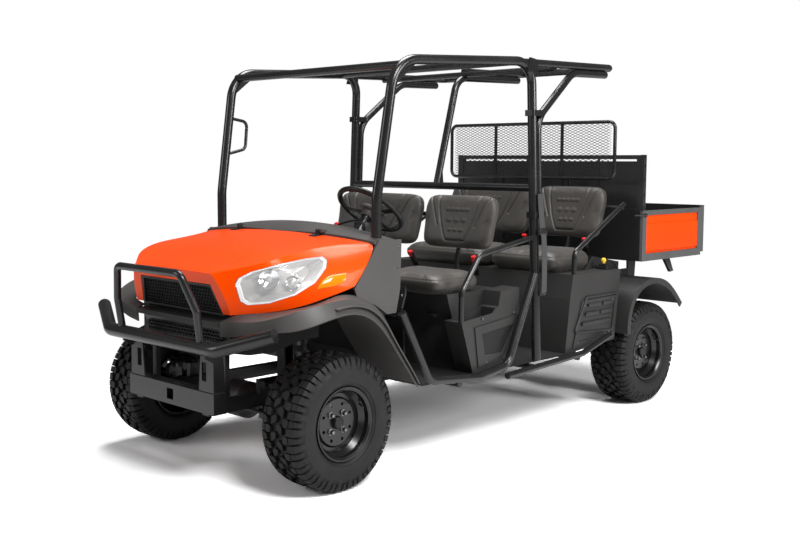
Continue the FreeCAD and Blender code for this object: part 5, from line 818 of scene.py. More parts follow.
@dataclass(frozen=True)
class WheelTrim:
    """Domed nuts, centre cap and valve of one wheel.

    Attributes:
        nuts: Number of nuts.
        circle: Radius of the circle on which they stand.
        face: Distance of the rim's face from the wheel's middle.
        hub: Height of the rim's hub over its face.
        stem: Place of the valve's foot, out of the wheel, rearwards and up.
        nut: Outline of a nut as (along, radius); all outlines are in metres.
        washer: Outline of its washer.
        cap: Outline of the centre cap, from the rim's hub.
        valve: Outline of the valve, from its foot.
    """

    nuts: int = 4
    circle: float = 0.055
    face: float = 0.056
    hub: float = 0.0162
    stem: Point = (0.092, 0.116, 0.070)
    nut: tuple[Flat, ...] = ((-0.001, 0.0), (-0.001, 0.0135), (0.0035, 0.0135), (0.0045, 0.0118),
                             (0.0145, 0.0115), (0.0195, 0.0085), (0.0215, 0.0))
    washer: tuple[Flat, ...] = ((0.0, 0.0), (0.0, 0.0155), (0.0016, 0.0150), (0.0016, 0.0))
    cap: tuple[Flat, ...] = ((-0.002, 0.0), (-0.002, 0.0285), (0.001, 0.0285), (0.004, 0.026),
                             (0.0048, 0.020), (0.0032, 0.018), (0.0034, 0.0))
    valve: tuple[Flat, ...] = ((-0.012, 0.0), (-0.012, 0.0055), (0.0, 0.0058), (0.004, 0.0035),
                               (0.016, 0.0035), (0.0165, 0.0045), (0.026, 0.0045), (0.027, 0.0))

    def build(self, name: str, centre: Vector, side: Side) -> None:
        """Builds the trim of one wheel.

        Args:
            name: Which wheel.
            centre: Wheel centre.
            side: Side of the vehicle.
        """
        nuts = Form(f"nuts_{name}")
        for index in range(self.nuts):
            angle = 2.0 * math.pi * (index + 0.5) / self.nuts
            spoke = Vector((0.0, math.cos(angle), math.sin(angle)))
            foot = centre + side.out * (self.face + 0.0008) + spoke * self.circle
            nuts.lathe(self.nut, foot, side.out, 6)
            nuts.lathe(self.washer, foot, side.out, 24)
        nuts.done(NUT_STEEL, f"wheel_{name}")
        cap = Form(f"cap_{name}")
        start = self.face + self.hub
        cap.lathe([(start + a, r) for a, r in self.cap], centre, side.out, 40)
        stem = centre + side.out * self.stem[0] + Vector((0.0, *self.stem[1:]))
        lean = (side.out + Vector((0.0, -0.35, -0.2))).normalized()
        cap.lathe(self.valve, stem, lean, 14)
        cap.done(PLASTIC_BLACK, f"wheel_{name}")


# Seats

@dataclass(frozen=True)
class Pad:
    """One stuffed seat part: a crowned closed form, swollen by a cloth simulation.

    Attributes:
        half: Half width, half depth and half height before it swells.
        bulge: How square the outline and the section are.
        voxel: Grid of the remesh.
        cap: Farthest that a point may move.
        thin: Index of the axis across the thickness.
        pressure: Pressure inside the pad.
        frames: Length of the simulation.
    """

    half: Point
    bulge: tuple[float, float] = (7.0, 3.2)
    voxel: float = 0.008
    cap: float = 0.010
    thin: int = 2
    pressure: float = 4.0
    frames: int = 20

    def blank(self) -> bmesh.types.BMesh:
        """Returns the closed starting form about the origin."""
        bm = bmesh.new()
        bmesh.ops.create_cube(bm, size=2.0)
        bmesh.ops.subdivide_edges(bm, edges=bm.edges[:], cuts=15, use_grid_fill=True)
        plan, section = self.bulge
        wide = [axis for axis in range(3) if axis != self.thin]
        for vert in bm.verts:
            flat = sum(abs(vert.co[axis]) ** plan for axis in wide)
            level = flat ** (section / plan) + abs(vert.co[self.thin]) ** section
            vert.co = vert.co / level ** (1.0 / section)
            vert.co = Vector((vert.co.x * self.half[0], vert.co.y * self.half[1], vert.co.z * self.half[2]))
        return bm

    def swell(self, mesh: bpy.types.Mesh) -> bpy.types.Mesh:
        """Remeshes the form and lets pressure fill it.

        Args:
            mesh: The starting form.

        Returns:
            The swollen mesh.
        """
        scene = bpy.context.scene
        pad = linked("pad_blank", mesh)
        remesh = pad.modifiers.new("remesh", "REMESH")
        remesh.mode = "VOXEL"
        remesh.voxel_size = self.voxel
        even = bpy.data.meshes.new_from_object(worked_out(pad))
        pad.modifiers.clear()
        pad.data = even
        rest = [vert.co.copy() for vert in even.vertices]
        cloth = pad.modifiers.new("cloth", "CLOTH")
        cloth.settings.use_pressure = True
        cloth.settings.uniform_pressure_force = self.pressure
        cloth.settings.effector_weights.gravity = 0.0
        cloth.settings.quality = 4
        cloth.point_cache.frame_start, cloth.point_cache.frame_end = 1, self.frames
        for frame in range(1, self.frames + 1):
            scene.frame_set(frame)
        held = worked_out(pad).to_mesh()
        moved = [vert.co.copy() for vert in held.vertices]
        pad.modifiers.clear()
        scene.frame_set(1)
        for vert, start, end in zip(even.vertices, rest, moved):
            step = end - start
            if step.length > self.cap:
                step = step.normalized() * self.cap
            vert.co = start + step
        finer = pad.modifiers.new("finer", "SUBSURF")
        finer.levels = finer.render_levels = 1
        smooth = bpy.data.meshes.new_from_object(worked_out(pad))
        bpy.data.objects.remove(pad)
        return smooth

    def shape(self) -> bpy.types.Mesh:
        """Returns the swollen pad about the origin."""
        bm = self.blank()
        self.form(bm)
        mesh = bpy.data.meshes.new("pad")
        bm.to_mesh(mesh)
        bm.free()
        return self.swell(mesh)

    def form(self, bm: bmesh.types.BMesh) -> None:
        """Bends the starting form into the pad's own."""
        raise NotImplementedError


def near_line(point: Flat, line: Sequence[Flat]) -> float:
    """Returns the distance from a point to a line of points.

    Args:
        point: The point.
        line: Corners of the line.
    """
    px, py = point
    best = 1.0
    for (ax, ay), (bx, by) in zip(line, line[1:]):
        dx, dy = bx - ax, by - ay
        share = max(0.0, min(1.0, ((px - ax) * dx + (py - ay) * dy) / (dx * dx + dy * dy)))
        best = min(best, math.hypot(px - ax - dx * share, py - ay - dy * share))
    return best


@dataclass(frozen=True)
class SeatCushion(Pad):
    """Seat cushion, flat below, with a rolled front and a sewn line round its top."""

    def form(self, bm: bmesh.types.BMesh) -> None:
        """Flattens the underside and draws the sides in.

        Args:
            bm: The starting form.
        """
        for vert in bm.verts:
            x, y, z = vert.co
            if z < 0.0:
                z = max(z * 1.25, -self.half[2])
            pull = 1.0 - 0.03 * math.cos(math.pi * 0.5 * y / self.half[1])
            dish = 0.007 * math.exp(-((x / (self.half[0] * 0.5)) ** 2) - ((y / (self.half[1] * 0.55)) ** 2))
            rise = 0.008 * max(0.0, y / self.half[1]) if z > 0 else 0.0
            vert.co = Vector((x * pull, y, z - (dish if z > 0.0 else 0.0) + rise - 0.004))

    def place(self, name: str, mesh: bpy.types.Mesh, middle: Vector, stretch: Flat) -> bpy.types.Object:
        """Sets a copy of the swollen pad in its place, with its seam sewn in.

        Args:
            name: Name of the piece.
            mesh: The swollen pad.
            middle: Middle of the cushion.
            stretch: Depth and height against the first row's cushion.
        """
        copy = mesh.copy()
        w, d, h = self.half
        for vert in copy.vertices:
            x, y, z = vert.co
            edge = max(abs(x) / (w * 0.985), abs(y) / (d * 0.985))
            seam = 0.0032 * math.exp(-(((z - h * 0.36) / 0.0042) ** 2)) if edge > 0.8 else 0.0
            x, y = x * (1.0 - seam / w), y * (1.0 - seam / d)
            vert.co = middle + Vector((x, y * stretch[0], z * stretch[1]))
        return padded_piece(name, copy)


@dataclass(frozen=True)
class SeatBack(Pad):
    """Winged back pad with a framed middle panel and slanting bolster lines.

    Attributes:
        panel: Sewn line round the middle panel, as shares of the half width and half height.
        bolster: Sewn line of one bolster.
        tuft_rows: Rows of tufts: height share, number, step as a share of the half width, half width.
    """

    panel: tuple[Flat, ...] = ((-0.57, 1.0), (-0.52, 0.45), (-0.44, -0.05), (-0.33, -0.50), (-0.26, -0.72),
                               (0.26, -0.72), (0.33, -0.50), (0.44, -0.05), (0.52, 0.45), (0.57, 1.0))
    bolster: tuple[Flat, ...] = ((0.80, 0.84), (0.72, 0.62), (0.60, 0.12), (0.52, -0.20))
    tuft_rows: tuple[tuple[float, int, float, float], ...] = (
        (0.40, 5, 0.105, 0.016), (0.02, 3, 0.16, 0.020), (-0.34, 3, 0.12, 0.015))

    def form(self, bm: bmesh.types.BMesh) -> None:
        """Narrows the pad a little below and at its shoulders and hollows its middle.

        Args:
            bm: The starting form.
        """
        w, _, h = self.half
        for vert in bm.verts:
            x, y, z = vert.co
            share = min(1.0, max(0.0, (z / h + 1.0) / 2.0))
            narrow = 0.020 * (1.0 - share) ** 1.4 + 0.016 * max(0.0, share - 0.72) / 0.28
            wing = 0.012 * min(1.0, (abs(x) / w) ** 3)
            hollow = 0.007 * math.exp(-((x / (w * 0.6)) ** 4) - ((z + h * 0.1) / (h * 0.8)) ** 4)
            drop = 0.008 * (abs(x) / w) ** 2 * max(0.0, share - 0.5)
            deep = y + (hollow - wing if y < 0.0 else wing * 0.3)
            vert.co = Vector((x * (1.0 - narrow / w), deep, z - drop))

    def grooves(self) -> list[list[Flat]]:
        """Returns the sewn lines of the front face as rows of (x, z)."""
        w, _, h = self.half
        lines = [self.panel] + [[(sign * x, z) for x, z in self.bolster] for sign in (1.0, -1.0)]
        return [[(x * w, z * h) for x, z in line] for line in lines]

    def tufts(self) -> list[Point]:
        """Returns the raised lozenges of the middle panel as (x, z, half width)."""
        w, _, h = self.half
        return [((index - (count - 1) / 2.0) * step * w * 1.25, level * h, size)
                for level, count, step, size in self.tuft_rows for index in range(count)]

    def place(self, name: str, mesh: bpy.types.Mesh, foot: Vector, top: Vector,
              stretch: float) -> bpy.types.Object:
        """Sets a copy of the swollen pad on its leaning line, with its grooves pressed in.

        Args:
            name: Name of the piece.
            mesh: The swollen pad.
            foot: Middle of the pad's front face at its foot.
            top: The same at its top.
            stretch: Height against the finished blank.
        """
        copy = mesh.copy()
        up = (top - foot).normalized()
        across = Vector((1.0, 0.0, 0.0))
        back = across.cross(up).normalized()
        back = back if back.y > 0 else -back
        middle = (foot + top) / 2.0 + back * (self.half[1] + 0.004)
        lines = self.grooves()
        tufts = self.tufts()
        for vert in copy.vertices:
            x, y, z = vert.co
            if y < -self.half[1] * 0.25:
                gap = min(near_line((x, z), line) for line in lines)
                y += 0.0085 * math.exp(-((gap / 0.0056) ** 2))
                for a, b, size in tufts:
                    reach = ((x - a) / size) ** 2 + ((z - b) / (size * 0.62)) ** 2
                    if reach < 6.0:
                        y -= 0.0045 * math.exp(-reach * reach)
            vert.co = middle + across * x + back * y + up * (z * stretch)
        return padded_piece(name, copy)


def padded_piece(name: str, mesh: bpy.types.Mesh) -> bpy.types.Object:
    """Ends a pad as a padded piece on the chassis.

    Args:
        name: Name of the piece.
        mesh: Its finished mesh.
    """
    mesh.name = name
    for face in mesh.polygons:
        face.use_smooth = True
    mesh.materials.clear()
    mesh.materials.append(finished(SEAT_VINYL))
    pad = linked(name, mesh)
    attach(pad, "chassis")
    LOG.info("padded piece %s", name)
    return pad


@dataclass(frozen=True)
class SeatRow:
    """One row of seats, in millimetres.

    Attributes:
        name: Label of the row.
        front: Front edge of the cushions.
        depth: Depth of the cushions.
        middle: Height of the cushions' middle.
        thick: Thickness of the cushions against the first row's.
        foot: Depth and height of the back pads' foot.
        top: The same of their top.
        tall: Height of the back pads against their blank.
    """

    name: str
    front: float
    depth: float
    middle: float
    thick: float
    foot: tuple[float, float]
    top: tuple[float, float]
    tall: float


@dataclass(frozen=True)
class Seats:
    """Both rows of seats: a single and a double place in each row.

    Attributes:
        spans: Lowest and highest x of the two places.
        blank_depth: Depth of the cushions' blank, millimetres.
        rows: The two rows.
    """

    spans: tuple[Flat, ...] = ((93.0, 620.0), (-620.0, 83.0))
    blank_depth: float = 395.0
    rows: tuple[SeatRow, ...] = (
        SeatRow("front", 770.0, 395.0, 876.0, 1.0, (1186.0, 1006.0), (1262.0, 1356.0), 0.95),
        SeatRow("rear", 1800.0, 425.0, 925.0, 1.24, (2244.0, 1030.0), (2322.0, 1378.0), 1.02),
    )

    def build(self) -> None:
        """Builds the four cushions and the four back pads."""
        for label, (low, high) in zip(("near", "far"), self.spans):
            width = (high - low) / 2000.0
            seat = SeatCushion((width - 0.007, self.blank_depth / 2000.0 - 0.007, 0.046), (7.0, 3.0))
            cushion = seat.shape()
            rest = SeatBack((width - 0.006, 0.034, 0.163), (8.0, 3.4), 0.0075, 0.008, 1)
            back = rest.shape()
            x = (low + high) / 2.0
            for row in self.rows:
                middle = at(x, row.front + row.depth / 2.0, row.middle)
                stretch = (row.depth / self.blank_depth, row.thick)
                pad = seat.place(f"cushion_{row.name}_{label}", cushion, middle, stretch)
                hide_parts("seat_cushions")
                foot, top = at(x, *row.foot), at(x, *row.top)
                pad = rest.place(f"back_pad_{row.name}_{label}", back, foot, top, row.tall)
                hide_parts("seat_backrests")


# Lamps and meshes of the nose

def surface_of(node: bpy.types.Object) -> BVHTree:
    """Returns a search tree of a node's surface.

    Args:
        node: The CAD node.
    """
    bm = bmesh.new()
    bm.from_mesh(node.data)
    tree = BVHTree.FromBMesh(bm)
    bm.free()
    return tree


def struck(tree: BVHTree, start: Vector, way: Vector, spare: Vector) -> Vector:
    """Returns where a ray first meets a surface, or the spare place if it misses."""
    hit = tree.ray_cast(start, way)[0]
    return hit if hit else spare


@dataclass(frozen=True)
class Headlamp:
    """Clear-covered lamp in the hood: cover, bright frame, stepped housing, two dishes and their bulbs.

    Attributes:
        side: Side of the vehicle.
        depth: Depth of the housing.
        dish_depth: Depth of a dish.
        look: Direction in which the left lamp looks, of any length.
        edge: Smallest cosine between the cover's faces and that direction.
        dishes: Place across, place in height and radius of each dish, in the lamp's plane.
    """

    side: Side
    depth: float = 0.030
    dish_depth: float = 0.019
    look: Point = (3657.0, -3080.0, 540.0)
    edge: float = 0.42
    dishes: tuple[Point, ...] = ((0.060, 0.004, 0.046), (-0.045, -0.014, 0.034))

    def build(self, node: bpy.types.Object) -> None:
        """Builds one lamp inside the room of its CAD solid.

        Args:
            node: The CAD node of both lamps.
        """
        sign = self.side.value
        facing = Vector((self.look[0] * sign, *self.look[1:])).normalized()
        bm = bmesh.new()
        bm.from_mesh(node.data)
        bmesh.ops.remove_doubles(bm, verts=bm.verts[:], dist=0.00005)
        bm.normal_update()
        drop = [face for face in bm.faces
                if face.calc_center_median().x * sign < 0 or face.normal.dot(facing) < self.edge]
        bmesh.ops.delete(bm, geom=drop, context="FACES")
        tree = BVHTree.FromBMesh(bm)
        middle = sum((vert.co for vert in bm.verts), Vector()) / len(bm.verts)
        rim = self.outline(bm)
        self.cover(bm)
        right = Vector((0.0, 0.0, 1.0)).cross(facing).normalized() * -sign
        up = facing.cross(right).normalized()
        up = up if up.z > 0 else -up
        spokes = []
        for point in rim:
            inward = middle - point
            spokes.append((point, inward - facing * inward.dot(facing)))
        self.frame(spokes, facing)
        self.housing(spokes, middle, facing)
        for a, b, radius in self.dishes:
            hit = tree.ray_cast(middle + right * a + up * b + facing * 0.2, -facing)[0]
            if hit:
                self.dish(f"{radius * 1000:.0f}", hit - facing * 0.006, facing, radius)

    def outline(self, bm: bmesh.types.BMesh) -> list[Vector]:
        """Returns the cover's edge as one ordered loop.

        Args:
            bm: The cover's faces.
        """
        edges = [edge for edge in bm.edges if len(edge.link_faces) == 1]
        loops = []
        while edges:
            start, here = edges.pop(0).verts
            loop = [start.co.copy(), here.co.copy()]
            while True:
                nxt = next((e for e in here.link_edges if e in edges), None)
                if nxt is None:
                    break
                edges.remove(nxt)
                here = nxt.other_vert(here)
                loop.append(here.co.copy())
            loops.append(loop[:-1] if (loop[-1] - loop[0]).length < 1e-6 else loop)
        return max(loops, key=len)

    def cover(self, bm: bmesh.types.BMesh) -> None:
        """Ends the cover as a thin clear shell.

        Args:
            bm: The cover's faces.
        """
        form = Form(f"lamp_cover_{self.side.label}")
        form.bm.free()
        form.bm = bm
        bmesh.ops.solidify(bm, geom=bm.faces[:], thickness=0.0022)
        form.done(CLEAR_LENS, "hood", ("headlamps",), 30.0)

    def frame(self, spokes: list[tuple[Vector, Vector]], facing: Vector) -> None:
        """Adds the bright frame behind the cover's edge.

        Args:
            spokes: Points of the cover's edge, each with its way to the middle.
            facing: Direction in which the lamp looks.
        """
        rings = []
        for point, inward in spokes:
            section = [point + inward * inset - facing * depth
                       for inset, depth in ((0.012, 0.0030), (0.085, 0.0042), (0.105, 0.0150))]
            rings.append([*section, section[0] - facing * 0.0125])
        Form(f"lamp_frame_{self.side.label}").rings(rings, closed=True).done(LAMP_FRAME, "hood", (), 40.0)

    def housing(self, spokes: list[tuple[Vector, Vector]], middle: Vector, facing: Vector) -> None:
        """Adds the stepped bright housing behind the dishes.

        Args:
            spokes: Points of the cover's edge, each with its way to the middle.
            middle: Middle of the cover.
            facing: Direction in which the lamp looks.
        """
        floor = self.depth - 0.003
        steps = ((0.03, 0.013), (0.13, 0.014), (0.19, 0.019), (0.33, 0.020), (0.40, floor))
        form = Form(f"lamp_housing_{self.side.label}")
        last = form.skin([[point + inward * inset - facing * depth for point, inward in spokes]
                          for inset, depth in steps])[-1]
        hub = form.bm.verts.new(middle - facing * floor)
        for index, corner in enumerate(last):
            form.bm.faces.new((corner, last[(index + 1) % len(last)], hub))
        form.done(SILVER, "hood", (), 25.0)

    def dish(self, label: str, front: Vector, facing: Vector, radius: float) -> None:
        """Adds one reflector dish with its bulb shield.

        Args:
            label: Label in the piece's name.
            front: Middle of the dish's mouth.
            facing: Direction in which it looks.
            radius: Radius of the mouth.
        """
        deep = -self.dish_depth
        rows = [(0.0, radius), (-0.0015, radius * 0.96)]
        rows += [(deep * (1.0 - share ** 2), radius * 0.93 * share) for share in (0.85, 0.7, 0.5, 0.3, 0.12)]
        rows += [(deep, 0.0), (deep - 0.002, 0.0), (deep - 0.002, radius * 0.5), (-0.004, radius)]
        Form(f"lamp_dish_{label}_{self.side.label}").lathe(rows, front, facing, 48).done(CHROME, "hood")
        bulb = [(deep, 0.0), (deep, 0.007), (-0.008, 0.0078), (-0.005, 0.0066), (-0.003, 0.0)]
        Form(f"lamp_bulb_{label}_{self.side.label}").lathe(bulb, front, facing, 24).done(BULB, "hood")


HEXAGON_STEP = 0.0215  # Width of a cell of the honeycomb, metres
HEXAGON_WALL = 0.0024  # Half the wall between two cells, metres


def hexagon_mesh(form: Form, keep: Callable[[float, float], bool], to_place: Callable[..., Vector],
                 columns: int, rows: int) -> None:
    """Adds an open mesh of hexagons in the plane of a panel.

    Args:
        form: The mesh that grows.
        keep: Says whether a cell with this middle is kept.
        to_place: Turns plane coordinates and a depth into a place.
        columns: Cells to each side of the middle.
        rows: Cells above and below the middle.
    """
    step, wall = HEXAGON_STEP, HEXAGON_WALL
    scale = 1.0 - wall / (step * 0.5)
    for row in range(-rows, rows + 1):
        for column in range(-columns, columns + 1):
            a = (column + (0.5 if row % 2 else 0.0)) * step
            b = row * step * 0.74
            if not keep(a, b):
                continue
            rings = [[], [], []]
            for corner in range(6):
                angle = math.pi / 3 * corner + math.pi / 6
                x, z = math.cos(angle) * step * 0.578, math.sin(angle) * step * 0.494
                for ring, share, depth in zip(rings, (1.0, scale, scale), (0.0, 0.001, 0.008)):
                    ring.append(to_place(a + x * share, b + z * share, depth))
            form.skin(rings)


@dataclass(frozen=True)
class Grille:
    """Leaning trapezoid grille with a deep frame and a honeycomb.

    Attributes:
        top: Half width and height of the upper edge, millimetres.
        bottom: The same of the lower edge.
        lean: Depth at the lower and at the upper edge.
        section: Section of the frame as (inwards, backwards), metres.
        intake: Half width, half height and middle height of the lower intake and of its black sheet of
            painted shade, millimetres.
        nose: Depth of the front sheet in which the intake lies.
    """

    top: Flat = (282.0, 948.0)
    bottom: Flat = (326.0, 802.0)
    lean: Flat = (-357.2, -401.7)
    section: tuple[Flat, ...] = ((0.0, 0.004), (0.003, 0.0015), (0.012, 0.003), (0.0145, 0.012),
                                 (0.0145, 0.034), (0.0, 0.034))
    intake: Point = (318.0, 35.0, 703.0)
    nose: float = -344.5

    def share(self, z: float) -> float:
        """Returns how far up the grille a height lies, from 0 to 1."""
        return (z * 1000.0 - self.bottom[1]) / (self.top[1] - self.bottom[1])

    def place(self, x: float, z: float, depth: float) -> Vector:
        """Returns a point of the leaning plane from metres across, up and behind the nose."""
        y = self.lean[0] + (self.lean[1] - self.lean[0]) * self.share(z)
        return at(x * 1000.0, y + depth * 1000.0, z * 1000.0)

    def half(self, z: float) -> float:
        """Returns the half width at a height, both in metres."""
        return (self.bottom[0] + (self.top[0] - self.bottom[0]) * self.share(z)) / 1000.0

    def build(self) -> None:
        """Builds the frame, the honeycomb, the lower intake and black sheets of painted shade behind both."""
        low, high = self.bottom[1] / 1000.0, self.top[1] / 1000.0
        wide, narrow = self.half(low), self.half(high)
        middle = (low + high) / 2.0
        rings, back = [], []
        for x, z in ((wide, low), (narrow, high), (-narrow, high), (-wide, low)):
            sx, sz = math.copysign(1.0, x), math.copysign(1.0, z - middle)
            rings.append([self.place(x - sx * inset * 1.15, z - sz * inset, depth)
                          for inset, depth in self.section])
            back.append(self.place(x - sx * 0.006, z - sz * 0.005, 0.030))
        Form("grille_frame").rings(rings, closed=True).done(PLASTIC_BLACK, "hood", ("grille",), 30.0)
        mesh = Form("grille_mesh")
        reach = (high - low) / 2.0 - 0.010
        hexagon_mesh(mesh, lambda a, b: abs(b) < reach and abs(a) < self.half(middle + b) - 0.013,
                     lambda a, b, depth: self.place(a, middle + b, 0.014 + depth), 15, 5)
        mesh.done(PLASTIC_BLACK, "hood", (), 20.0)
        # Painted shade: a black sheet behind the honeycomb stands in for the shade inside the grille.
        Form("grille_shade_sheet").slab(back, Vector((0.0, 0.003, 0.0))).done(SHADE_BLACK, "hood")
        lower = Form("intake_mesh")
        hexagon_mesh(lower, lambda a, b: abs(a) < 0.300 and abs(b) < 0.030,
                     lambda a, b, depth: at(a * 1000.0, self.nose + depth * 900.0, 702.0 + b * 1000.0), 14, 2)
        lower.done(PLASTIC_BLACK, "chassis", (), 20.0)
        # Painted shade: a black sheet behind the lower mesh stands in for the shade inside the intake.
        half, rise, z = self.intake
        sheet = path((half, -336.0, z - rise), (half, -336.0, z + rise),
                     (-half, -336.0, z + rise), (-half, -336.0, z - rise))
        Form("intake_shade_sheet").slab(sheet, Vector((0.0, 0.003, 0.0))).done(SHADE_BLACK, "chassis")


# Expanded steel mesh

def diamond_mesh(form: Form, corners: tuple[float, ...], to_place: Callable[..., Vector], cell: Flat,
                 wall: float, inside: Callable[[float, float], bool] | None = None) -> None:
    """Adds a mesh of diamonds that fills an upright rectangle.

    Args:
        form: The mesh that grows.
        corners: Lowest and highest a, lowest and highest b.
        to_place: Turns plane coordinates and a depth into a place.
        cell: Width and height of a diamond.
        wall: Half the width of a strand.
        inside: Says whether a diamond with this middle is kept.
    """
    a0, a1, b0, b1 = corners
    wide, tall = cell
    columns = int((a1 - a0) / wide)
    rows = int((b1 - b0) / (tall / 2))
    start_a = (a0 + a1 - columns * wide) / 2
    start_b = (b0 + b1 - rows * tall / 2) / 2
    points = ((wide / 2, 0.0), (0.0, tall / 2), (-wide / 2, 0.0), (0.0, -tall / 2))
    full, shrunk = (1.0, 1.0), (1.0 - 2.0 * wall / wide * 1.5, 1.0 - 2.0 * wall / tall * 1.2)
    for row in range(1, rows):
        for column in range(columns + 1):
            a = start_a + (column + (0.5 if row % 2 else 0.0)) * wide
            b = start_b + row * tall / 2
            if a - wide / 2 < a0 - 0.001 or a + wide / 2 > a1 + 0.001 or (inside and not inside(a, b)):
                continue
            form.skin([[to_place(a + x * scale[0], b + z * scale[1], depth) for x, z in points]
                       for scale, depth in ((full, 0.0), (shrunk, 0.0), (shrunk, 1.0), (full, 1.0))])


@dataclass(frozen=True)
class RearScreen:
    """Tubular screen behind the cab with expanded steel mesh, in millimetres.

    Attributes:
        half: Half width over the tube.
        low: Lower edge.
        high: Upper edge.
        y: Front face of the tube.
        tube: Width of the tube.
        corner: Radius of the corners.
        post_x: Distance of the uprights and legs from the middle.
        leg: The legs' line as (y, z), up to the bend below the frame.
    """

    half: float = 654.0
    low: float = 1392.0
    high: float = 1757.0
    y: float = 2349.0
    tube: float = 22.0
    corner: float = 42.0
    post_x: float = 262.0
    leg: tuple[Flat, ...] = ((2449.0, 605.0), (2449.0, 1378.0), (2447.0, 1388.0), (2441.0, 1397.0),
                             (2432.0, 1402.0), (2422.0, 1403.0))

    def build(self) -> None:
        """Builds frame, uprights, legs and mesh."""
        radius = self.tube / 2000.0
        line = []
        mid = self.y + self.tube / 2
        half, low, high = self.half - self.tube / 2, self.low + self.tube / 2, self.high - self.tube / 2
        for sx, sz, start in ((1, 1, 0), (-1, 1, 90), (-1, -1, 180), (1, -1, 270)):
            cx = sx * (half - self.corner)
            cz = (high - self.corner) if sz > 0 else (low + self.corner)
            for step in range(7):
                angle = math.radians(start + 15 * step)
                line.append(at(cx + self.corner * math.cos(angle), mid, cz + self.corner * math.sin(angle)))
        form = Form("screen_frame").tube(line, radius, 12, closed=True)
        for side in Side:
            x = side.value * self.post_x
            form.tube([at(x, mid, low), at(x, mid, high)], radius * 0.95, 12)
            form.tube(upright(x, *self.leg, (mid + 8.0, self.leg[-1][1])), 0.012, 12)
        form.done(TUBE, "chassis", ("rear_screen",), 40.0)
        mesh = Form("screen_mesh")
        edge = (half - radius * 1000.0 + 6.0) / 1000.0
        diamond_mesh(mesh, (-edge, edge, low / 1000.0 + 0.004, high / 1000.0 - 0.004),
                     lambda a, b, depth: at(a * 1000.0, mid - 1.5 + depth * 3.0, b * 1000.0),
                     (0.0400, 0.0170), 0.0015)
        mesh.done(MESH_STEEL, "chassis", (), 20.0)


@dataclass(frozen=True)
class VentMesh:
    """Fine mesh in the side vents of the front seat base.

    Attributes:
        corners: Corners of the opening as (y, z), metres.
        x: Distance of the mesh from the middle, millimetres.
    """

    corners: tuple[Flat, ...] = ((1.010, 0.614), (1.282, 0.640), (1.172, 0.500), (1.034, 0.502))
    x: float = 718.6

    def inside(self, a: float, b: float) -> bool:
        """Says whether a point lies in the opening.

        Args:
            a: Along, metres.
            b: Height, metres.
        """
        hit = False
        for (ay, az), (by, bz) in zip(self.corners, self.corners[1:] + self.corners[:1]):
            if (az > b) != (bz > b) and a < (by - ay) * (b - az) / (bz - az) + ay:
                hit = not hit
        return hit

    def build(self) -> None:
        """Builds the mesh of both sides."""
        ys, zs = zip(*self.corners)
        for side in Side:
            form = Form(f"vent_mesh_{side.label}")
            diamond_mesh(form, (min(ys), max(ys), min(zs), max(zs)),
                         lambda a, b, depth: at(side.value * (self.x + depth * 1.6), a * 1000.0, b * 1000.0),
                         (0.0155, 0.0105), 0.0011, self.inside)
            form.done(MESH_STEEL, "chassis", (), 20.0)


# Fittings

@dataclass(frozen=True)
class SteeringWheel:
    """Steering wheel with a grip, three flat spokes and a hub pad, in the plane of the CAD wheel.

    Attributes:
        centre: Middle of the grip's ring, millimetres.
        lean: Angle of the wheel's axis above the ground, degrees.
        radius: Radius of the ring, metres.
        grip: Radius of the grip, metres.
        steps: Facets round the ring.
        nubs: Places for finger nubs round the ring.
        spokes: Angles of the spokes, degrees.
        spoke: Line of a spoke as (outwards, along the axis), metres.
        pad: Outline of the hub pad as (along the axis, radius), metres.
    """

    centre: Point = (360.0, 548.0, 1262.0)
    lean: float = 51.5
    radius: float = 0.172
    grip: float = 0.0138
    steps: int = 72
    nubs: int = 40
    spokes: tuple[float, ...] = (0.0, 180.0, 270.0)
    spoke: tuple[Flat, ...] = ((0.020, -0.016), (0.070, -0.014), (0.120, -0.007), (0.150, -0.002),
                               (0.168, 0.0))
    pad: tuple[Flat, ...] = ((-0.048, 0.0), (-0.048, 0.030), (-0.020, 0.034), (-0.014, 0.052),
                             (-0.006, 0.056), (0.001, 0.050), (0.004, 0.038), (0.0052, 0.0))

    def build(self) -> None:
        """Builds the wheel."""
        lean = math.radians(self.lean)
        axis = Vector((0.0, math.cos(lean), math.sin(lean)))
        centre = at(*self.centre)
        up = axis.cross(ACROSS)
        up = up if up.z > 0 else -up
        form = Form("steering_grip")
        turns = [2.0 * math.pi * step / self.steps for step in range(self.steps)]
        ring = [centre + circle_way(ACROSS, up, turn) * self.radius for turn in turns]
        form.tube(ring, self.grip, 14, closed=True)
        for step in range(self.nubs):
            angle = 2.0 * math.pi * (step + 0.5) / self.nubs
            if abs(math.sin(angle)) < 0.12 or math.sin(angle) < -0.9:
                continue
            way = circle_way(ACROSS, up, angle)
            form.knob(centre + way * (self.radius - self.grip * 0.96), -way, 0.0042, 0.0016)
        for angle in self.spokes:
            way = circle_way(ACROSS, up, math.radians(angle))
            line = [centre + way * reach + axis * drop for reach, drop in self.spoke]
            form.strap(line, axis.cross(way), 0.034, 0.009)
        form.done(PLASTIC_BLACK, "steering_wheel", ("steering_wheel",), 40.0)
        hub = Form("steering_hub").lathe(self.pad, centre, axis, 40)
        hub.done(PLASTIC, "steering_wheel", (), 30.0)


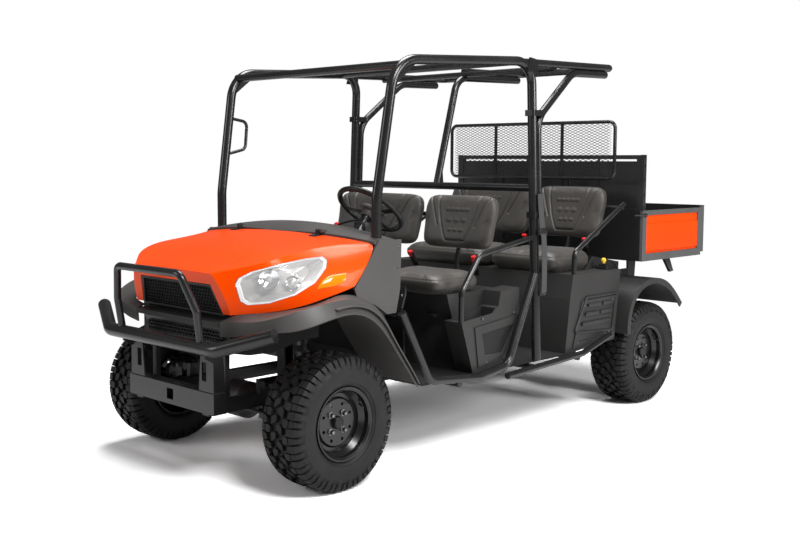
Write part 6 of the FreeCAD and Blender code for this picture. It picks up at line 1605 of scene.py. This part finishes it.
@dataclass(frozen=True)
class Fittings:
    """Small controls, belts, markers and fasteners; places in millimetres, other sizes in metres.

    Attributes:
        buckles: Name, foot and lean across of each buckle.
        buckle_parts: Piece, finish and straps of a buckle; a strap is its rises, width and thickness.
        belt: Line of a stowed belt down the middle post.
        belt_guides: Corners (y, z), depth and bevel of its two guides.
        marker: Outline of a side marker (y, z).
        hinge_x: Distance of the hood's hinges from the middle.
        hinge_pad: Outline of a hinge pad (x, y).
        bed_hooks: Heights of the hooks on a bed post.
        nose_shade_sheet: Line of the black sheet of painted shade behind the nose, one half.
        engine_side: Outline of the sheets beside the engine (y, z).
        base_panel: Outline of the rear base's side panel (y, z).
        base_ribs: Height, start and end of its ribs.
        cowl_screws: Screws of the leaning cowl sides (y, z).
        base_screws: Screws of the upright seat bases (y, z).
        screw: Outline of a screw's head as (along, radius).
    """

    buckles: tuple[tuple[str, Point, float], ...] = (
        ("front_near", (556, 1152, 944), 0.2), ("front_far", (116, 1152, 944), -0.15),
        ("front_mid", (-300, 1152, 944), 0.1), ("rear_near", (540, 2222, 986), 0.2),
        ("rear_mid", (112, 2222, 986), -0.15), ("rear_far", (-300, 2222, 986), 0.1),
    )
    buckle_parts: tuple[tuple[str, Finish, tuple], ...] = (
        ("buckle", PLASTIC_BLACK, (((-0.055, -0.02, 0.006), 0.040, 0.004),
                                   ((0.0, 0.012, 0.050, 0.058), 0.046, 0.018))),
        ("buckle_press", RED_PLASTIC, (((0.034, 0.060, 0.066), 0.037, 0.0215),)),
    )
    belt: tuple[Point, ...] = (
        (734, 1482, 1330), (740, 1484, 1240), (752, 1486, 1128), (758, 1488, 1100), (763, 1490, 1000),
        (765, 1490, 900), (764, 1490, 812), (763, 1490, 792),
    )
    belt_guides: tuple[tuple[tuple[Flat, ...], float, float], ...] = (
        (((1450, 1108), (1526, 1108), (1522, 1146), (1454, 1146)), 0.022, 0.005),
        (((1461, 776), (1517, 776), (1520, 806), (1458, 806)), 0.024, 0.006),
    )
    marker: tuple[Flat, ...] = ((-62, 930), (-26, 968), (14, 985), (88, 994), (76, 968), (52, 950), (0, 937))
    hinge_x: float = 307.5
    hinge_pad: tuple[Flat, ...] = ((286, 234), (286, 196), (296, 186), (330, 190), (338, 200), (330, 236))
    bed_hooks: tuple[float, ...] = (1535, 1478, 1396, 1300, 1222)
    # Painted shade: the nose sheet stands in for the shade in the gap behind the nose.
    nose_shade_sheet: tuple[Point, ...] = ((-590, -20, 700), (-556, -100, 690), (-492, -205, 640),
                                     (-425, -292, 628), (-318, -330, 628))
    engine_side: tuple[Flat, ...] = ((2150, 700), (2640, 700), (2640, 836), (2528, 836), (2528, 885),
                                     (2236, 934), (2150, 858))
    base_panel: tuple[Flat, ...] = ((1968, 719), (2292, 719), (2248, 502), (1858, 524))
    base_ribs: tuple[Point, ...] = ((672, 1985, 2120), (672, 2138, 2252), (622, 1956, 2096),
                                    (622, 2114, 2240), (566, 1925, 2222))
    cowl_screws: tuple[Flat, ...] = ((408, 1000), (410, 868), (426, 1096))
    base_screws: tuple[Flat, ...] = ((1016, 690), (1276, 700), (1050, 460), (1204, 452),
                                     (1958, 672), (2250, 684), (1888, 466), (2214, 492))
    screw: tuple[Flat, ...] = ((-0.002, 0.0), (-0.002, 0.0065), (0.0008, 0.0065), (0.0026, 0.0048),
                               (0.0034, 0.0020), (0.0026, 0.0))

    def knob(self, name: str, foot: Point, lean: Point, size: Flat, finish: Finish) -> None:
        """Builds a knob that is a piece of its own; its size is radius and height."""
        Form(name).knob(at(*foot), Vector(lean).normalized(), *size).done(finish, "chassis")

    def controls(self) -> None:
        """Builds the levers by the steering wheel and beside the seat."""
        stalk = Form("column_stalks")
        stalk.tube(path((350, 498, 1212), (300, 470, 1205), (232, 478, 1190), (176, 497, 1176)), 0.0048)
        stalk.tube(path((376, 520, 1200), (420, 512, 1216), (468, 508, 1236)), 0.0042)
        stalk.knob(at(462, 508, 1234), Vector((1.0, 0.0, 0.4)).normalized(), 0.0095, 0.036)
        stalk.block(at(318, 470, 1150), at(402, 540, 1204), 0.012)
        stalk.done(PLASTIC_BLACK, "chassis")
        self.knob("dash_knob", (186, 494, 1179), (-1.0, 0.2, -0.22), (0.0175, 0.036), RED_PLASTIC)
        lever = Form("range_lever")
        lever.tube(path((470, 905, 726), (474, 915, 760), (486, 928, 790)), 0.006)
        lever.slab(path((452, 876, 690), (506, 876, 690), (506, 960, 690), (452, 960, 690)),
                   Vector((0, 0, 0.018)), 0.005)
        lever.done(PLASTIC_BLACK, "chassis")
        self.knob("range_knob", (486, 928, 784), (0.1, 0.12, 1.0), (0.016, 0.034), ORANGE_PLASTIC)
        self.knob("bed_release_knob", (655, 2246, 896), (0.0, 0.1, 1.0), (0.015, 0.034), YELLOW_PLASTIC)
        rod = Form("bed_release_rod")
        rod.tube(path((640, 2268, 800), (648, 2256, 850), (655, 2247, 900)), 0.006)
        rod.done(TUBE, "chassis")

    def belts(self) -> None:
        """Builds the buckles on their stalks and the belts stowed on the middle posts."""
        for name, place, lean in self.buckles:
            up = Vector((lean, -0.5, 1.0)).normalized()
            foot = at(*place)
            for part, finish, straps in self.buckle_parts:
                form = Form(f"{part}_{name}")
                for rises, width, thick in straps:
                    form.strap([foot + up * rise for rise in rises], ACROSS, width, thick)
                form.done(finish, "chassis")
        for side in Side:
            strap = Form(f"belt_{side.label}")
            strap.strap(path(*self.belt, sign=side.value), Vector((0.0, 1.0, 0.0)), 0.046, 0.0035)
            strap.done(WEBBING, "chassis")
            guides = Form(f"belt_guide_{side.label}")
            for corners, depth, bevel in self.belt_guides:
                guides.slab(upright(side.value * 735, *corners), side.out * depth, bevel)
            guides.done(PLASTIC_BLACK, "chassis")

    def markers(self, tree: BVHTree) -> None:
        """Builds the amber side markers on the hood.

        Args:
            tree: The hood's surface, on which they sit.
        """
        for side in Side:
            s = side.value
            outline = [struck(tree, at(s * 900, y, z), Vector((-s, 0.0, 0.0)), at(s * 715, y, z))
                       for y, z in self.marker]
            middle = sum(outline, Vector()) / len(outline)
            Form(f"side_marker_{side.label}").rings([
                [p - side.out * 0.004 for p in outline],
                [p + side.out * 0.003 for p in outline],
                [middle + (p - middle) * 0.86 + side.out * 0.0055 for p in outline],
            ]).done(AMBER_LENS, "hood", (), 50.0)

    def hinge_pads(self, tree: BVHTree) -> None:
        """Builds the black pads and sleeves over the hood's two hinges.

        Args:
            tree: The hood's surface, on which they lie.
        """
        for side in Side:
            s = side.value
            form = Form(f"hinge_pad_{side.label}")
            rows = [struck(tree, at(s * x, y, 1400), Vector((0.0, 0.0, -1.0)), at(s * x, y, 1160))
                    for x, y in self.hinge_pad]
            form.rings([[p + Vector((0, 0, lift)) for p in rows] for lift in (-0.002, 0.0042)])
            form.lathe([(0.0, 0.0), (0.0, 0.0088), (0.016, 0.0088), (0.016, 0.0)],
                       at(s * self.hinge_x - 8.0, 242, 1166), ACROSS, 20)
            form.block(at(s * self.hinge_x - 8.4, 226, 1136), at(s * self.hinge_x + 8.4, 249, 1172), 0.001)
            form.done(PLASTIC_BLACK, "hood", (), 30.0)

    def sheets_and_box(self) -> None:
        """Builds the black sheet of painted shade behind the nose, the dark inner sheets below the bed, and
        the lever box.
        """
        # Painted shade: this black sheet fills the gap behind the nose, where only shade shows.
        line = self.nose_shade_sheet + tuple((-x, y, z) for x, y, z in reversed(self.nose_shade_sheet))
        nose = Form("nose_shade_sheet")
        nose.rings([path((x, y, z), (x, y, 806), (x, y + 3, 806), (x, y + 3, z)) for x, y, z in line])
        nose.done(SHADE_BLACK, "chassis")
        rear = Form("engine_cover")
        for side in Side:
            rear.slab(upright(side.value * 585, *self.engine_side), side.out * -0.004, 0.001)
        rear.slab(path((-585, 2270, 855), (585, 2270, 855), (585, 2270, 930), (-585, 2270, 930)),
                  Vector((0, 0.004, 0)), 0.001)
        rear.done(FLOOR_PLASTIC, "chassis")
        box = Form("lever_box")
        box.block(at(618, 2226, 786), at(688, 2330, 878), 0.009)
        box.block(at(626, 2236, 876), at(680, 2300, 888), 0.004)
        box.tube(path((700, 2338, 760), (700, 2340, 830), (690, 2336, 880), (660, 2330, 900)), 0.006, 8)
        box.done(PLASTIC_BLACK, "chassis")

    def base_panels(self) -> None:
        """Builds the raised border and ribs of the rear base's side panels."""
        for side in Side:
            s = side.value
            form = Form(f"base_ribs_{side.label}")
            line = []
            panel = self.base_panel
            for index, (y, z) in enumerate(panel):
                before, after = panel[index - 1], panel[(index + 1) % len(panel)]
                for (ty, tz), share in ((before, 28), (before, 10), (after, 10), (after, 28)):
                    reach = math.hypot(ty - y, tz - z)
                    line.append(at(s * 722.5, y + (ty - y) * share / reach, z + (tz - z) * share / reach))
            form.tube(line, 0.0068, 8, closed=True)
            for z, start, end in self.base_ribs:
                corners = ((start, z - 11), (end, z - 11), (end + 6, z + 11), (start + 8, z + 11))
                form.slab(upright(s * 720, *corners), side.out * 0.009, 0.004)
            # The ribs take the darker plastic, whose darkening is painted shade.
            form.done(SHADED_PLASTIC, "chassis", (), 40.0)

    def bed_hardware(self) -> None:
        """Builds the posts with their hooks, the catches and the handles of the cargo bed."""
        for side in Side:
            s = side.value
            post = Form(f"bed_post_{side.label}")
            post.side_block(s, (712, 738), (2541, 2573), (1200, 1548), 0.003)
            for z in self.bed_hooks:
                post.tube(path((736, 2548, z + 9), (742, 2548, z + 9), (742, 2560, z), (742, 2548, z - 9),
                               (736, 2548, z - 9), sign=s), 0.0032, 8)
            catch = Form(f"bed_catch_{side.label}")
            catch.tube(path((741, 2440, 1180), (743, 2480, 1180), (743, 2580, 1176), (739, 2592, 1170),
                            sign=s), 0.0048, 8)
            catch.side_block(s, (735, 744), (2548, 2586), (1164, 1188), 0.002)
            handle = Form(f"bed_handle_{side.label}")
            handle.slab(upright(s * 700, (2846, 893), (2916, 893), (2968, 806), (2930, 800)),
                        side.out * 0.020, 0.003)
            for form in (post, catch, handle):
                form.done(BED_STEEL, "cargo_bed")

    def fasteners(self) -> None:
        """Builds the round-headed screws of the panels."""
        form = Form("panel_screws")
        for side in Side:
            spots = [(663 + (726 - 663) * (1136 - z) / 347 + 1.5, y, z) for y, z in self.cowl_screws]
            spots += [(722.6, y, z) for y, z in self.base_screws]
            for place in path(*spots, sign=side.value):
                form.lathe(self.screw, place, side.out, 16)
        form.done(BARE_DARK, "chassis")

    def build(self, nodes: dict[str, bpy.types.Object]) -> None:
        """Builds all small fittings.

        Args:
            nodes: The frame's node objects by name.
        """
        hood = surface_of(nodes["hood"])
        self.controls()
        self.belts()
        self.markers(hood)
        self.hinge_pads(hood)
        self.sheets_and_box()
        self.base_panels()
        self.bed_hardware()
        self.fasteners()


# Stage

@dataclass(frozen=True)
class Stage:
    """Floor, lamps, world light and camera at the photograph's angle.

    Attributes:
        place: Camera place in metres.
        azimuth: Camera azimuth about the object, degrees.
        elevation: Camera elevation, degrees.
        roll: Turn of the camera about its own axis, degrees.
        lens: Focal length for a sensor 36 mm wide.
        shift: Horizontal and vertical shift of the frame.
        surround: Strength of the world's light.
        aim: Height at which the lamps point, metres.
        floor_colour: Colour of the floor as it lights the object.
        shown_gain: Colour of the floor as the camera sees it; above 1, so that only shadows show.
        fade: Distances between which the seen floor fades to plain white, metres.
        lamps: Name, place, edge length in metres and power in watts of each lamp.
    """

    place: Point = (4.157, -4.684, 1.511)
    azimuth: float = 45.564
    elevation: float = 5.122
    roll: float = 0.137
    lens: float = 47.868
    shift: Flat = (0.05655, -0.01571)
    surround: float = 0.14
    aim: float = 0.8
    floor_colour: Colour = (0.8, 0.8, 0.8)
    shown_gain: float = 1.75
    fade: Flat = (2.0, 3.6)
    lamps: tuple[tuple[str, Point, float, float], ...] = (
        ("key_lamp", (5.5, -2.2, 6.0), 2.4, 500.0),
        ("side_lamp", (7.5, 2.2, 3.2), 2.2, 300.0),
        ("nose_lamp", (-3.0, -7.0, 3.4), 2.5, 100.0),
        ("top_lamp", (-0.4, 0.4, 6.5), 3.0, 470.0),
    )

    def camera(self) -> None:
        """Creates the camera and makes it the scene's own."""
        data = bpy.data.cameras.new("camera")
        data.lens = self.lens
        data.sensor_width = 36.0
        data.shift_x, data.shift_y = self.shift
        data.clip_end = 200.0
        camera = linked("camera", data)
        tilt = Matrix.Rotation(math.radians(90.0 - self.elevation), 4, "X")
        turn = Matrix.Rotation(math.radians(self.azimuth), 4, "Z")
        roll = Matrix.Rotation(math.radians(self.roll), 4, "Z")
        camera.matrix_world = Matrix.Translation(self.place) @ turn @ tilt @ roll
        bpy.context.scene.camera = camera

    def lamp(self, name: str, place: Point, size: float, power: float) -> None:
        """Adds one soft area lamp that faces the object.

        Args:
            name: Lamp name.
            place: Where it hangs.
            size: Edge length in metres.
            power: Power in watts.
        """
        data = bpy.data.lights.new(name, "AREA")
        data.shape = "SQUARE"
        data.size = size
        data.energy = power
        lamp = linked(name, data)
        back = Vector(place) - Vector((0.0, 0.0, self.aim))
        lamp.matrix_world = Matrix.Translation(place) @ back.to_track_quat("Z", "Y").to_matrix().to_4x4()

    def world(self) -> None:
        """Gives an even pale surround that the camera sees as white."""
        world = bpy.data.worlds.new("surround")
        bpy.context.scene.world = world
        graph = Graph(world)
        light = graph.output("ShaderNodeBackground", None, {"Color": WHITE, "Strength": self.surround})
        seen = graph.output("ShaderNodeBackground", None, {"Color": WHITE})
        graph.node("ShaderNodeOutputWorld", None, {"Surface": graph.shown(light, seen)})

    def floor(self) -> None:
        """Lays the plain pale floor."""
        bpy.ops.mesh.primitive_plane_add(size=120.0, location=(0.0, 0.0, 0.0))
        floor = bpy.context.active_object
        floor.name = "floor"
        graph = Graph(bpy.data.materials.new("floor_matt"))
        diffuse = graph.output("ShaderNodeBsdfDiffuse", None, {"Color": (*self.floor_colour, 1.0)})
        lit = graph.output("ShaderNodeBsdfDiffuse", None, {"Color": (*[self.shown_gain] * 3, 1.0)})
        white = graph.output("ShaderNodeEmission", None, {"Color": WHITE, "Strength": 1.0})
        x, y = graph.axes()[:2]
        away = graph.math("SQRT", x * x * 1.6 + y * y * 0.8).step(*self.fade)
        both = graph.output("ShaderNodeMixShader", None, {0: away, 1: lit, 2: white})
        graph.node("ShaderNodeOutputMaterial", None, {"Surface": graph.shown(diffuse, both)})
        floor.data.materials.append(graph.owner)

    def build(self) -> None:
        """Builds the whole stage."""
        bpy.context.scene.view_settings.view_transform = "Standard"
        self.camera()
        self.world()
        self.floor()
        for lamp in self.lamps:
            self.lamp(*lamp)


def dress(nodes: dict[str, bpy.types.Object]) -> None:
    """Gives each carried-over node its finish and reports the nodes left out.

    Args:
        nodes: The frame's node objects by name.
    """
    left = set(nodes)
    for finish, names in NODE_FINISHES.items():
        for name in names:
            for slot in nodes[name].material_slots:
                slot.material = finished(finish)
        left -= set(names)
    LOG.info("not listed: %s", sorted(left))


AXLE_HEIGHT = 317.5
WHEELS = (
    ("front_left", 637.0, 0.0, Side.LEFT),
    ("front_right", -637.0, 0.0, Side.RIGHT),
    ("rear_left", 637.0, 2629.0, Side.LEFT),
    ("rear_right", -637.0, 2629.0, Side.RIGHT),
)


def main() -> None:
    """Loads the frame, dresses it and finishes the scene."""
    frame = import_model()
    nodes = frame["nodes"]
    Stage().build()
    dress(nodes)
    for name, x, y, side in WHEELS:
        centre = at(x, y, AXLE_HEIGHT)
        Tyre().build(name, centre)
        WheelTrim().build(name, centre, side)
    for side in Side:
        Headlamp(side).build(nodes["headlamps"])
    Grille().build()
    RearScreen().build()
    VentMesh().build()
    SteeringWheel().build()
    Fittings().build(nodes)
    Seats().build()
    LOG.info("pieces built")


if __name__ == "__main__":
    main()
